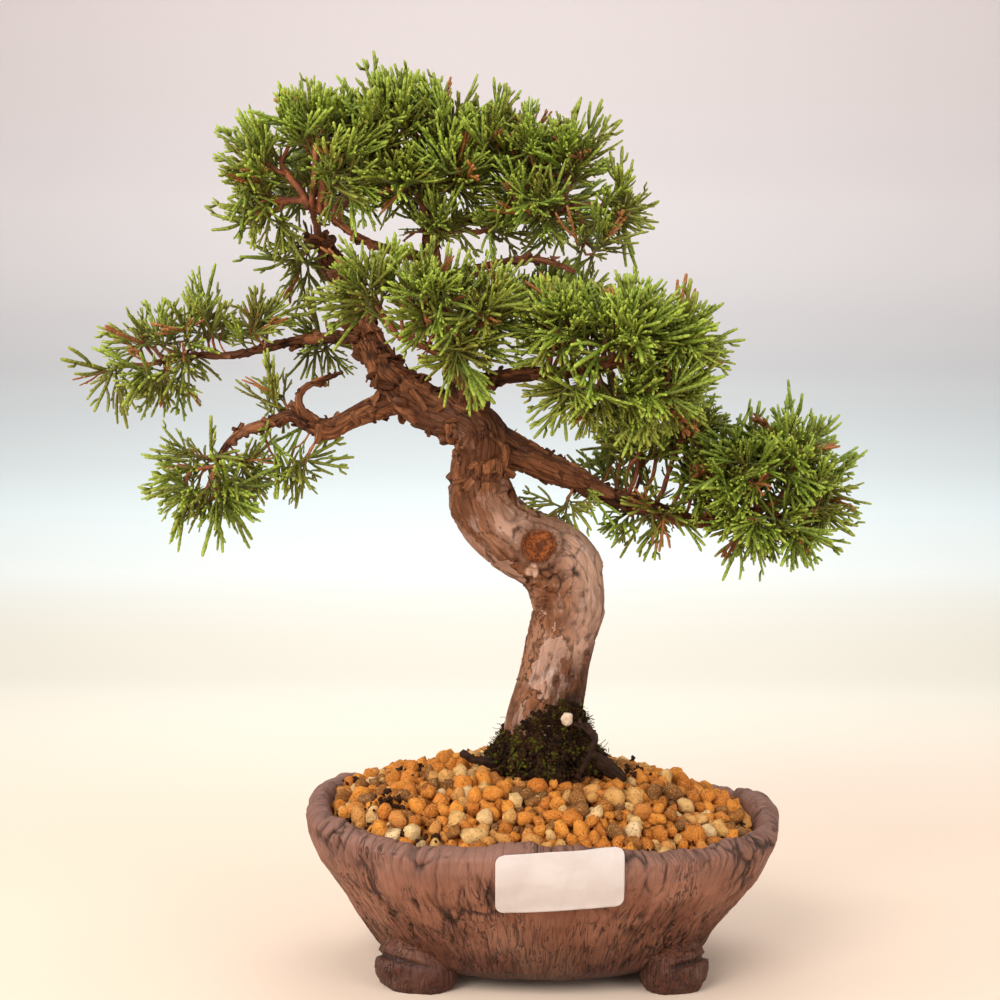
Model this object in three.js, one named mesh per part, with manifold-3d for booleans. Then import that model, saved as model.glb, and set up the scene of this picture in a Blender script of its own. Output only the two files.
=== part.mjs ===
// Juniper bonsai in a hand-built oval clay pot.
// Millimetres, +Z up, +Y to the back of the tree, origin under the middle of the whole tree.
import * as THREE from "three";
import { mergeVertices } from "three/addons/utils/BufferGeometryUtils.js";
import Module from "manifold-3d";

// Pot
const POT_LENGTH = 180; // along X, over the rim
const POT_DEPTH = 134; // along Y, over the rim
const RIM_HEIGHT = 60; // mean height of the rim over the floor
const RIM_TILT = 4.5; // the rim is this much higher at the back and lower at the front
const RIM_LEAN = 3.2; // and this much higher at the left and lower at the right
const RIM_RIPPLE = 1.2; // hand-pinched waves of the rim
const WALL = 9;
const FLOOR_THICKNESS = 9;
const FOOT_CLEARANCE = 5.5; // under the bowl
const FOOT_WIDTH = 24;
const FOOT_HEIGHT = 19;
// Each foot: its corner [left or right, front or back], its length, and how far in it stands.
const FEET = [
  [-1, -1, 31, 17],
  [1, -1, 25, 15],
  [1, 1, 28, 16],
  [-1, 1, 29, 16],
];
const DRAIN_RADIUS = 7;
const DRAIN_SPACING = 54;

// What lies in the pot
const SOIL_BELOW_RIM = 5;
const MOUND_RISE = 22; // of the grains, from the wall to the middle
const GRAIN_DEPTH = 11;
const SCREEN_SIZE = 24;
const SCREEN_THICKNESS = 1.2;
const WIRE_RADIUS = 0.8;
const LABEL_LENGTH = 44;
const LABEL_HEIGHT = 21;
const LABEL_THICKNESS = 0.4;
const LABEL_SIDE = 5; // middle of the label, right of the middle of the pot
const LABEL_DROP = 10; // middle of the label, under the rim
const LABEL_TILT = 0.06;
const STONE_SIZE = 5.5;

// Tree
const TREE_HEIGHT = 270; // soil line to the highest shoot
const TREE_SPREAD = 302; // tip to tip along X
const TRUNK_RADIUS = 13; // at the waist
const MOSS_THICKNESS = 3.4;
const MOSS_TOP = 13; // over the soil line
const SCAR_RADIUS = 8.5; // healed saw cut on the knee of the trunk

const GAP = 0.35; // between pieces that touch
const EMBED = 4; // a branch stands this far into the stem that it grew from

// The drawn shape of the tree, which the sizes above stretch.
const SHAPE_HEIGHT = 270;
const SHAPE_SPREAD = 302;
const SHAPE_RADIUS = 13;

const wasm = await Module();
wasm.setup();

const TURN = Math.PI * 2;

// A repeatable stream of random numbers between 0 and 1.
function randomStream(seed) {
  let state = seed;
  return function () {
    state = (state + 0x6d2b79f5) | 0;
    let t = Math.imul(state ^ (state >>> 15), 1 | state);
    t = (t + Math.imul(t ^ (t >>> 7), 61 | t)) ^ t;
    return ((t ^ (t >>> 14)) >>> 0) / 4294967296;
  };
}

// three.js geometry to a solid for joining and cutting, and back again.
function solid(geometry) {
  const bare = geometry.index ? geometry.toNonIndexed() : geometry.clone();
  bare.deleteAttribute("normal");
  bare.deleteAttribute("uv");
  const merged = mergeVertices(bare, 1e-4);
  return new wasm.Manifold(
    new wasm.Mesh({
      numProp: 3,
      vertProperties: new Float32Array(merged.attributes.position.array),
      triVerts: new Uint32Array(merged.index.array),
    }),
  );
}

function geometryOf(body) {
  const mesh = body.getMesh();
  const geometry = new THREE.BufferGeometry();
  geometry.setAttribute("position", new THREE.BufferAttribute(mesh.vertProperties, 3));
  geometry.setIndex(new THREE.BufferAttribute(mesh.triVerts, 1));
  const flat = geometry.toNonIndexed();
  flat.computeVertexNormals();
  return flat;
}

// A closed skin over rings of points, from one end point to the other, with its faces out when
// each ring turns anticlockwise seen from the last end.
function skin(startPoint, rings, endPoint) {
  const count = rings[0].length;
  const points = [startPoint, ...rings.flat(), endPoint];
  const last = points.length - 1;
  const faces = [];
  for (let i = 0; i < count; i++) {
    const next = (i + 1) % count;
    faces.push(0, 1 + next, 1 + i);
    for (let ring = 0; ring < rings.length - 1; ring++) {
      const low = 1 + ring * count;
      const high = low + count;
      faces.push(low + i, low + next, high + next);
      faces.push(low + i, high + next, high + i);
    }
    const top = 1 + (rings.length - 1) * count;
    faces.push(last, top + i, top + next);
  }
  const geometry = new THREE.BufferGeometry().setFromPoints(points);
  geometry.setIndex(faces);
  return geometry;
}

// ---- Pot ----

// Outline of the bowl at an angle: a softened oval with a little hand-made unevenness.
function outline(angle) {
  const power = 2.25;
  const across = Math.abs(Math.cos(angle)) ** power + Math.abs(Math.sin(angle)) ** power;
  const uneven = 1 + 0.009 * Math.sin(3 * angle + 0.7) + 0.006 * Math.sin(5 * angle + 2.2);
  const reach = uneven / across ** (1 / power);
  return [(Math.cos(angle) * reach * POT_LENGTH) / 2, (Math.sin(angle) * reach * POT_DEPTH) / 2];
}

function rimHeight(angle) {
  const ripple = Math.sin(4 * angle + 1.1) + 0.6 * Math.sin(7 * angle + 0.4);
  const lean = RIM_TILT * Math.sin(angle) - RIM_LEAN * Math.cos(angle);
  return RIM_HEIGHT + lean + RIM_RIPPLE * ripple;
}

// Half-width of the bowl's outside at a height, as a share of its half-width at the rim.
const FLANK = [
  [0, 0.6],
  [0.08, 0.69],
  [0.25, 0.76],
  [0.42, 0.83],
  [0.66, 0.94],
  [0.86, 0.99],
  [0.95, 1],
  [1, 0.975],
];

function shareAt(level) {
  const step = FLANK.findIndex(([height]) => height >= level);
  if (step <= 0) return FLANK[0][1];
  const [lowHeight, lowShare] = FLANK[step - 1];
  const [highHeight, highShare] = FLANK[step];
  return lowShare + ((highShare - lowShare) * (level - lowHeight)) / (highHeight - lowHeight);
}

// A point at an angle, a share of the outline less an inset, and a height.
function potPoint(angle, share, inset, height) {
  const [x, y] = outline(angle);
  const length = Math.hypot(x, y);
  const reach = Math.max(share * length - inset, 0) / length;
  return new THREE.Vector3(x * reach, y * reach, height);
}

function bowlRing(count, share, inset, heightAt) {
  return Array.from({ length: count }, (_, i) => {
    const angle = (i / count) * TURN;
    return potPoint(angle, share, inset, heightAt(angle));
  });
}

const BOWL_SIDES = 40;
const innerFloor = FOOT_CLEARANCE + FLOOR_THICKNESS;

function levelHeight(level) {
  return (angle) => FOOT_CLEARANCE + level * (rimHeight(angle) - FOOT_CLEARANCE);
}

// Height inside the pot: 0 on its floor, 1 at the rim.
function insideHeight(level) {
  return (angle) => innerFloor + level * (rimHeight(angle) - innerFloor);
}

const INSIDE = [
  [0.98, 0.985, WALL * 0.75],
  [0.8, 0.965, WALL],
  [0.5, 0.87, WALL],
  [0.2, 0.76, WALL],
  [0, 0.64, WALL],
];

function bowlGeometry() {
  const ring = (share, inset, heightAt) => bowlRing(BOWL_SIDES, share, inset, heightAt);
  const outside = FLANK.map(([level, share]) => ring(share, 0, levelHeight(level)));
  const lip = ring(0.985, WALL * 0.35, (angle) => rimHeight(angle) + 1.5);
  const inside = INSIDE.map(([level, share, inset]) => ring(share, inset, insideHeight(level)));
  const start = new THREE.Vector3(0, 0, FOOT_CLEARANCE - 0.5);
  const end = new THREE.Vector3(0, 0, innerFloor);
  return skin(start, [...outside, lip, ...inside], end);
}

function cylinderAt(radius, length, x, y, z, sides = 16) {
  const geometry = new THREE.CylinderGeometry(radius, radius, length, sides);
  geometry.rotateX(Math.PI / 2);
  geometry.translate(x, y, z);
  return geometry;
}

function boxAt(length, width, height, x, y, z) {
  return new THREE.BoxGeometry(length, width, height).translate(x, y, z);
}

// A flattened roll of clay pressed under a corner of the bowl, flat where it stands.
function footBody([sideX, sideY, length, inset]) {
  const foot = new THREE.SphereGeometry(0.5, 12, 8);
  foot.rotateX(Math.PI / 2);
  foot.scale(length, FOOT_WIDTH, FOOT_HEIGHT * 1.2);
  foot.rotateZ(sideX * sideY * -0.25);
  const x = (FLANK[1][1] * POT_LENGTH) / 2 - inset;
  const y = (FLANK[1][1] * POT_DEPTH) / 2 - inset;
  foot.translate(sideX * x, sideY * y, FOOT_HEIGHT * 0.4);
  const aboveFloor = boxAt(3 * POT_LENGTH, 3 * POT_DEPTH, RIM_HEIGHT, 0, 0, RIM_HEIGHT / 2);
  return solid(foot).intersect(solid(aboveFloor)).subtract(roomInside(0));
}

// The room inside the pot up to its rim, less a clearance all round.
function roomInside(clearance) {
  const floor = innerFloor + clearance;
  const rings = INSIDE.toReversed().map(([level, share, inset]) =>
    bowlRing(BOWL_SIDES, share, inset + clearance, (angle) => Math.max(insideHeight(level)(angle), floor)),
  );
  const over = new THREE.Vector3(0, 0, RIM_HEIGHT + MOUND_RISE * 2);
  return solid(skin(new THREE.Vector3(0, 0, floor), rings, over));
}

const DRAINS = [-1, 1].map((side) => (side * DRAIN_SPACING) / 2);

let pot = solid(bowlGeometry());
for (const foot of FEET) pot = pot.add(footBody(foot));
for (const x of DRAINS) {
  pot = pot.subtract(solid(cylinderAt(DRAIN_RADIUS, FLOOR_THICKNESS * 4, x, 0, innerFloor)));
}

// ---- Drain screens and the wires that hold them ----

const screenZ = innerFloor + GAP + SCREEN_THICKNESS / 2;

// A staple of wire: over the screen, down through it and the drain, and bent out under the pot.
const wireReach = DRAIN_RADIUS * 0.55;

function screenBody(x) {
  const plate = solid(boxAt(SCREEN_SIZE, SCREEN_SIZE, SCREEN_THICKNESS, x, 0, screenZ));
  const holes = [-1, 1].map((side) =>
    solid(cylinderAt(WIRE_RADIUS + GAP, SCREEN_THICKNESS * 3, x, side * wireReach, screenZ, 8)),
  );
  return holes.reduce((body, hole) => body.subtract(hole), plate);
}

function drainWireBody(x) {
  const top = screenZ + SCREEN_THICKNESS / 2 + GAP + WIRE_RADIUS;
  const below = FOOT_CLEARANCE - 2 * GAP - WIRE_RADIUS - 0.6;
  const bend = wireReach + DRAIN_RADIUS * 0.8;
  const corners = [
    [-bend, below],
    [-wireReach, below],
    [-wireReach, top],
    [wireReach, top],
    [wireReach, below],
    [bend, below],
  ].map(([y, z]) => new THREE.Vector3(x, y, z));
  const section = new THREE.Shape(new THREE.Path().absarc(0, 0, WIRE_RADIUS, 0, TURN).getPoints(4));
  const legs = corners.slice(1).map((corner, i) => {
    const path = new THREE.LineCurve3(corners[i], corner);
    const options = { steps: 1, bevelEnabled: false, extrudePath: path };
    return solid(new THREE.ExtrudeGeometry(section, options));
  });
  const elbows = corners.slice(1, -1).map((corner) =>
    solid(new THREE.IcosahedronGeometry(WIRE_RADIUS * 1.2, 0).translate(...corner.toArray())),
  );
  return [...legs, ...elbows].reduce((whole, piece) => whole.add(piece));
}

// ---- Soil and grains ----

const soilLine = RIM_HEIGHT - SOIL_BELOW_RIM + MOUND_RISE;

// Height of the grains over the floor at a share of the way from the middle to the wall.
function moundHeight(angle, share) {
  const edge = share * rimHeight(angle) + (1 - share) * RIM_HEIGHT;
  return edge - SOIL_BELOW_RIM + MOUND_RISE * Math.max(1 - share * share, 0) ** 0.8;
}

// Everything from the floor up to the mound's top, lowered by a depth and broken up by a wobble.
function bed(depth, wobble, random) {
  const ringAt = (share, heightAt) =>
    Array.from({ length: BOWL_SIDES }, (_, i) => {
      const angle = (i / BOWL_SIDES) * TURN;
      const edge = potPoint(angle, 1, WALL, 0);
      return new THREE.Vector3(edge.x * share, edge.y * share, heightAt(angle));
    });
  const top = [1.12, 0.96, 0.74, 0.46].map((share) =>
    ringAt(share, (angle) => moundHeight(angle, share) - depth + (random() - 0.5) * wobble),
  );
  const foot = ringAt(1.12, () => 0);
  return solid(skin(new THREE.Vector3(), [foot, ...top], new THREE.Vector3(0, 0, soilLine - depth)));
}

const potRoom = roomInside(GAP);
let soil = potRoom.intersect(bed(GRAIN_DEPTH, 0, randomStream(1)));
let grains = potRoom.intersect(bed(0, 2.4, randomStream(7)));
grains = grains.subtract(bed(GRAIN_DEPTH - GAP, 0, randomStream(1)));

// ---- Stems ----

const stretchX = TREE_SPREAD / SHAPE_SPREAD;
const stretchZ = TREE_HEIGHT / SHAPE_HEIGHT;
const girth = TRUNK_RADIUS / SHAPE_RADIUS;

// From the drawn shape (X, Y and Z from the foot of the trunk at the soil line) to the pot's frame.
function grown([x, y, z]) {
  return new THREE.Vector3(x * stretchX, y * stretchX, z * stretchZ + soilLine);
}

// A round tapering stem through points [x, y, z, radius], thicker by a margin all over.
function stem(points, margin = 0, sides = 7) {
  const curve = new THREE.CatmullRomCurve3(points.map(grown), false, "centripetal");
  const last = points.length - 1;
  const tangent = curve.getTangent(0);
  const normal = Math.abs(tangent.z) > 0.8 ? new THREE.Vector3(1, 0, 0) : new THREE.Vector3(0, 0, 1);
  const rings = points.map(([, , , radius], i) => {
    const centre = curve.getPoint(i / last);
    curve.getTangent(i / last, tangent);
    normal.addScaledVector(tangent, -normal.dot(tangent)).normalize();
    const side = new THREE.Vector3().crossVectors(tangent, normal);
    const reach = radius * girth + margin;
    return Array.from({ length: sides }, (_, k) => {
      const angle = (k / sides) * TURN;
      const out = normal.clone().multiplyScalar(Math.cos(angle)).addScaledVector(side, Math.sin(angle));
      return centre.clone().addScaledVector(out, reach);
    });
  });
  const start = curve.getPoint(0).addScaledVector(curve.getTangent(0), -1 - margin);
  const tip = points[last][3] * girth * 0.7 + margin;
  const end = curve.getPoint(1).addScaledVector(curve.getTangent(1), tip);
  return solid(skin(start, rings, end));
}

// Centrelines [x, y, z, radius], from the foot of the trunk at the soil line.
const TRUNK = [
  [2, 0, -15, 16], [2, 0, -3, 19], [2, 0, 6, 17], [2, 0, 16, 15], [4, 1, 26, 13.6], [6, 2, 37, 12.8],
  [9, 3, 49, 12.9], [11, 3, 60, 13.8], [9, 2, 71, 14.7], [3, 0, 79, 14.2], [-7, -3, 84, 13.2],
  [-16, -5, 90, 12.3], [-22, -6, 99, 11.6], [-23, -5, 109, 10.8], [-22, -3, 118, 10.2],
  [-24, -1, 126, 9.6], [-32, 0, 131, 9.2], [-43, 1, 135, 8.4], [-52, 3, 141, 7.4], [-60, 6, 150, 6.2],
  [-65, 9, 160, 5], [-70, 12, 170, 4.4], [-75, 15, 182, 4], [-82, 17, 194, 3.8], [-87, 18, 204, 3.2],
];

const BRANCHES = {
  right_branch: [[-16, -3, 121, 7], [-9, 0, 118, 6.5], [2, 2, 113, 6], [14, 5, 108, 5.4], [28, 8, 101, 4.7],
    [42, 10, 97, 4.1], [59, 10, 92, 3.3], [73, 8, 92, 2.4], [87, 5, 97, 1.7]],
  left_lower_branch: [[-53, 3, 139, 5], [-64, 0, 135, 4.5], [-73, -3, 131, 4], [-81, -5, 127, 4.5],
    [-88, -7, 129, 3.8], [-95, -8, 132, 3], [-103, -9, 129, 2.7], [-112, -10, 126, 2.4],
    [-118, -11, 121, 2.1], [-122, -12, 113, 1.7]],
  hooked_twig: [[-85, -9, 130, 1.9], [-90, -13, 134, 2], [-91, -13, 139, 2], [-88, -11, 143, 1.9],
    [-82, -7, 146, 1.7], [-76, -1, 149, 1.5]],
  left_upper_branch: [[-64, 9, 163, 3.1], [-76, 8, 163, 2.9], [-85, 7, 163, 2.7], [-99, 6, 161, 2.5],
    [-111, 6, 158, 2.3], [-122, 5, 156, 2.1], [-137, 4, 156, 1.8], [-148, 3, 153, 1.5]],
  crown_leader: [[-27, 1, 126, 7], [-30, 6, 139, 5.2], [-32, 10, 150, 4.8], [-35, 14, 164, 4.5],
    [-39, 16, 180, 4.4], [-42, 15, 194, 4.2], [-43, 13, 206, 3.6], [-45, 10, 218, 2.9], [-47, 7, 229, 2.2]],
  crown_left_limb: [[-42, 15, 194, 3], [-52, 6, 196, 2.8], [-60, 2, 197, 2.5], [-70, -2, 201, 2.3],
    [-79, -5, 207, 2.1], [-89, -7, 213, 1.8]],
  crown_right_limb: [[-43, 13, 204, 3.4], [-35, 12, 208, 3.4], [-25, 12, 211, 3.2], [-13, 11, 212, 3],
    [0, 10, 212, 2.6], [12, 9, 214, 2.2]],
  front_branch: [[-24, -4, 134, 5], [-27, -12, 141, 4.4], [-19, -20, 145, 3.8], [-5, -26, 146, 3.3],
    [12, -29, 147, 2.8], [30, -31, 150, 2.2]],
  front_left_branch: [[-26, -11, 141, 3.3], [-32, -24, 149, 2.8], [-41, -32, 155, 2.3], [-52, -35, 159, 1.8]],
  back_branch: [[-36, 15, 167, 3.6], [-30, 28, 172, 3.1], [-18, 40, 176, 2.6], [-3, 49, 180, 2]],
  right_twig: [[-39, 14, 187, 2.6], [-24, 4, 190, 2.3], [-9, -3, 192, 2], [3, -5, 191, 1.8],
    [13, -6, 187, 1.6]],
  inner_left_twig: [[-67, 12, 166, 2.2], [-75, 18, 166, 1.8], [-81, 21, 167, 1.5]],
  apex_twig: [[-85, 18, 199, 2.4], [-90, 19, 202, 2], [-93, 20, 205, 1.6]],
};

const ROOTS = {
  left_root: [[-14, -9, -1, 3], [-20, -12, 1, 2.6], [-26, -14, 3, 2.1], [-30, -14, 5, 1.6]],
  looped_root: [[11, -12, 16, 1.3], [17, -16, 15, 1.5], [20, -19, 11, 1.5], [17, -21, 4, 1.5],
    [13, -21, -3, 1.4]],
  thick_root: [[13, -5, 5, 3.8], [19, -9, 2, 3.6], [25, -11, -1, 3], [31, -13, -5, 2.3]],
};

// The healed saw cut: a raised ring of callus with a sunken flat of dead wood.
const scarCentre = grown([-1, -14, 83]);
const scarAxis = new THREE.Vector3(-0.06, -1, 0.1).normalize();

function scarDisc(radius, depth, out) {
  const disc = new THREE.CylinderGeometry(radius * 0.86, radius, depth, 14);
  const turn = new THREE.Quaternion().setFromUnitVectors(new THREE.Vector3(0, 1, 0), scarAxis);
  disc.applyQuaternion(turn);
  return disc.translate(...scarCentre.clone().addScaledVector(scarAxis, out).toArray());
}

const trunk = stem(TRUNK, 0, 12)
  .add(solid(scarDisc(SCAR_RADIUS * girth, 10, -3.4)))
  .subtract(solid(scarDisc(SCAR_RADIUS * 0.72 * girth, 4, 2.4)));
const trunkRoom = stem(TRUNK, GAP, 12);

// Each branch ends on the stem that it grew from.
const GROWS_FROM = {
  hooked_twig: ["left_lower_branch"],
  crown_left_limb: ["crown_leader"],
  crown_right_limb: ["crown_leader"],
  front_left_branch: ["front_branch"],
  back_branch: ["crown_leader"],
  right_twig: ["crown_leader"],
};
const stemRooms = { trunk: trunkRoom };
const branches = {};
for (const [name, points] of Object.entries(BRANCHES)) {
  const parents = ["trunk", ...(GROWS_FROM[name] ?? [])];
  let body = stem(points);
  for (const parent of parents) body = body.subtract(stemRooms[parent]);
  branches[name] = body;
  stemRooms[name] = stem(points, GAP);
}

// ---- Moss, roots and the stone on the soil ----

const mossLine = TRUNK.filter((point) => point[2] > -14 && point[2] <= MOSS_TOP + 4);
let moss = stem(mossLine, MOSS_THICKNESS, 12).subtract(trunkRoom);

const roots = {};
for (const [name, points] of Object.entries(ROOTS)) {
  roots[name] = stem(points).subtract(trunkRoom);
  const room = stem(points, GAP);
  moss = moss.subtract(room);
  grains = grains.subtract(room);
}
const stone = new THREE.IcosahedronGeometry(STONE_SIZE / 2, 1);
stone.scale(1.25, 0.8, 1);
// The stone lies against the moss, so it moves out as the trunk's foot thickens.
const stoneAt = grown([2 + 7.6 * girth, -17 * girth, 18.2]);
stone.translate(...stoneAt.toArray());
const stoneRoom = stone.clone().translate(...stoneAt.clone().negate().toArray());
stoneRoom.scale(1.2, 1.2, 1.2).translate(...stoneAt.toArray());
moss = moss.subtract(solid(stoneRoom));
grains = grains.subtract(solid(stoneRoom)).subtract(trunkRoom);
grains = grains.subtract(stem(mossLine, MOSS_THICKNESS + GAP, 12));
soil = soil.subtract(trunkRoom).subtract(stem(mossLine, MOSS_THICKNESS + GAP, 12));
for (const points of Object.values(ROOTS)) soil = soil.subtract(stem(points, GAP));
const screenRoomSide = SCREEN_SIZE + 2 * GAP;
const screenRoomHeight = 2 * (SCREEN_THICKNESS + 2.4 * WIRE_RADIUS + 3 * GAP);
for (const x of DRAINS) {
  const room = boxAt(screenRoomSide, screenRoomSide, screenRoomHeight, x, 0, innerFloor);
  soil = soil.subtract(solid(room));
}

// ---- Label ----

// A thin blank card that follows the front of the pot.
function labelGeometry() {
  const columns = 8;
  const rows = 3;
  const front = [];
  const back = [];
  for (let row = 0; row <= rows; row++) {
    for (let column = 0; column <= columns; column++) {
      const x = LABEL_SIDE + (column / columns - 0.5) * LABEL_LENGTH;
      const angle = -Math.PI / 2 + Math.asin((x / POT_LENGTH) * 2);
      const middle = rimHeight(-Math.PI / 2) - LABEL_DROP + (x - LABEL_SIDE) * LABEL_TILT;
      const z = middle + (row / rows - 0.5) * LABEL_HEIGHT;
      const level = (z - FOOT_CLEARANCE) / (rimHeight(angle) - FOOT_CLEARANCE);
      const share = shareAt(Math.min(level, 0.95));
      back.push(potPoint(angle, share, -GAP * 1.6, z));
      front.push(potPoint(angle, share, -GAP * 1.6 - LABEL_THICKNESS, z));
    }
  }
  const points = [...back, ...front];
  const at = (layer, row, column) => layer * back.length + row * (columns + 1) + column;
  const faces = [];
  const quad = (a, b, c, d) => faces.push(a, b, c, a, c, d);
  for (let row = 0; row < rows; row++) {
    for (let column = 0; column < columns; column++) {
      quad(at(1, row, column), at(1, row, column + 1), at(1, row + 1, column + 1), at(1, row + 1, column));
      quad(at(0, row, column), at(0, row + 1, column), at(0, row + 1, column + 1), at(0, row, column + 1));
    }
  }
  for (let column = 0; column < columns; column++) {
    quad(at(0, 0, column), at(0, 0, column + 1), at(1, 0, column + 1), at(1, 0, column));
    quad(at(0, rows, column), at(1, rows, column), at(1, rows, column + 1), at(0, rows, column + 1));
  }
  for (let row = 0; row < rows; row++) {
    quad(at(0, row, 0), at(1, row, 0), at(1, row + 1, 0), at(0, row + 1, 0));
    quad(at(0, row, columns), at(0, row + 1, columns), at(1, row + 1, columns), at(1, row, columns));
  }
  const geometry = new THREE.BufferGeometry().setFromPoints(points);
  geometry.setIndex(faces);
  return geometry;
}

// ---- Foliage ----

// Each pad is a cloud of lobes [x, y, z, radius x, radius y, radius z].
const PADS = {
  crown_left_foliage: [[-105, -6, 226, 18, 25, 22], [-84, -6, 240, 22, 29, 20],
    [-105, -4, 209, 17, 20, 14], [-75, -12, 221, 18, 26, 19], [-90, 28, 224, 21, 24, 19]],
  crown_middle_foliage: [[-55, -4, 249, 19, 30, 20], [-36, 2, 248, 18, 30, 21],
    [-53, 0, 222, 19, 32, 17], [-33, 2, 226, 18, 30, 19], [-46, 34, 232, 23, 22, 21]],
  crown_right_foliage: [[-6, 4, 235, 20, 31, 21], [12, 6, 232, 18, 29, 19],
    [28, 5, 212, 17, 26, 16], [-2, 2, 212, 19, 28, 13], [20, -5, 196, 16, 20, 11], [5, 36, 220, 24, 20, 21]],
  apex_foliage: [[-93, 22, 197, 15, 20, 14]],
  inner_left_foliage: [[-86, 24, 166, 15, 19, 17]],
  back_foliage: [[4, 54, 184, 30, 24, 16], [-22, 50, 178, 18, 20, 13]],
  front_left_foliage: [[-61, -40, 172, 15, 22, 16], [-41, -43, 170, 19, 26, 19],
    [-22, -42, 167, 16, 26, 18], [-32, -38, 154, 22, 24, 11]],
  front_right_foliage: [[7, -38, 160, 20, 30, 19], [30, -38, 158, 22, 32, 21],
    [53, -34, 158, 18, 29, 19], [38, -32, 138, 26, 30, 16], [13, -34, 139, 19, 26, 12]],
  left_upper_foliage: [[-130, 6, 166, 18, 22, 16], [-151, 4, 160, 17, 22, 13],
    [-144, 0, 144, 19, 24, 16], [-163, 2, 149, 14, 12, 7], [-109, 6, 166, 17, 15, 12]],
  left_lower_inner_foliage: [[-94, -8, 115, 18, 18, 12], [-100, -8, 137, 15, 13, 9]],
  left_lower_outer_foliage: [[-130, -12, 118, 18, 21, 14], [-124, -12, 101, 24, 25, 18]],
  right_inner_foliage: [[40, 16, 121, 20, 24, 18], [60, 14, 127, 19, 24, 17],
    [43, 10, 96, 22, 20, 11], [24, 16, 106, 14, 15, 11]],
  right_outer_foliage: [[75, 2, 109, 21, 29, 24], [97, 4, 116, 21, 29, 21],
    [108, 2, 101, 17, 27, 23], [87, 0, 86, 28, 27, 15]],
  right_hanging_foliage: [[9, -3, 98, 17, 12, 8]],
};

const HOLLOW = 0.8; // of a lobe's radius, between its tufts
const TUFT = 1.06; // of a lobe's radius, at the tips of its tufts

// A lobe with a rough skin of tufts, from a rounded block whose corners stand out or in.
function lobeBody([x, y, z, radiusX, radiusY, radiusZ], random, margin) {
  const ball = new THREE.IcosahedronGeometry(1, 1);
  ball.deleteAttribute("normal");
  ball.deleteAttribute("uv");
  const lobe = mergeVertices(ball, 1e-4);
  const position = lobe.attributes.position;
  const size = new THREE.Vector3(radiusX * stretchX, radiusY * stretchX, radiusZ * stretchZ);
  const corner = new THREE.Vector3();
  for (let i = 0; i < position.count; i++) {
    corner.fromBufferAttribute(position, i);
    corner.multiplyScalar(HOLLOW + (TUFT - HOLLOW) * random());
    position.setXYZ(i, ...corner.toArray());
  }
  lobe.rotateY(random() * TURN);
  lobe.scale(size.x + margin, size.y + margin, size.z + margin);
  return solid(lobe.translate(...grown([x, y, z]).toArray()));
}

function padBody(lobes, random, margin = 0) {
  return lobes.map((lobe) => lobeBody(lobe, random, margin)).reduce((whole, lobe) => whole.add(lobe));
}

function largestPiece(body) {
  const pieces = body.decompose();
  return pieces.reduce((best, piece) => (piece.volume() > best.volume() ? piece : best));
}

// The pads give way to the stems that run into them and to the pads made before them.
const pads = {};
let taken = Object.values(stemRooms).reduce((whole, room) => whole.add(room));
for (const [index, [name, pad]] of Object.entries(PADS).entries()) {
  const whole = padBody(pad, randomStream(index + 11));
  pads[name] = largestPiece(whole.subtract(taken));
  taken = taken.add(padBody(pad, randomStream(index + 11), GAP * 2));
}

// ---- Assembly ----

function material(colour, roughness, metalness = 0) {
  return new THREE.MeshStandardMaterial({ color: colour, roughness, metalness });
}

const bonsai = new THREE.Group();
bonsai.name = "bonsai";

function place(name, geometry, look) {
  const mesh = new THREE.Mesh(geometry, look);
  mesh.name = name;
  bonsai.add(mesh);
}

place("pot", geometryOf(pot), material("#6b4434", 0.85));
for (const [index, x] of DRAINS.entries()) {
  const side = ["left", "right"][index];
  place(`${side}_drain_screen`, geometryOf(screenBody(x)), material("#202020", 0.6));
  place(`${side}_drain_wire`, geometryOf(drainWireBody(x)), material("#a9a9ab", 0.4, 0.9));
}
place("root_ball", geometryOf(soil), material("#4a3526", 0.95));
place("clay_grains", geometryOf(grains), material("#ad6930", 0.95));
place("moss", geometryOf(moss), material("#3c3a1c", 1));
place("pale_stone", stone, material("#c9c2b4", 0.8));
place("label", labelGeometry(), material("#f7f2ec", 0.5));
place("trunk", geometryOf(trunk), material("#9d775f", 0.8));
for (const [name, body] of Object.entries(roots)) place(name, geometryOf(body), material("#4b3a2e", 0.9));
for (const [name, body] of Object.entries(branches)) place(name, geometryOf(body), material("#7d5035", 0.85));
for (const [name, body] of Object.entries(pads)) place(name, geometryOf(body), material("#60642a", 0.8));

const bounds = new THREE.Box3().setFromObject(bonsai, true);
const middle = bounds.getCenter(new THREE.Vector3());
bonsai.position.set(-middle.x, -middle.y, -bounds.min.z);

export default bonsai;
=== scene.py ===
"""Looks of a juniper bonsai in a hand-built clay pot, on a pale floor in soft studio light."""

import math

import bmesh
import bpy
import numpy as np
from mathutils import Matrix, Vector, kdtree
from mathutils.bvhtree import BVHTree


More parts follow.
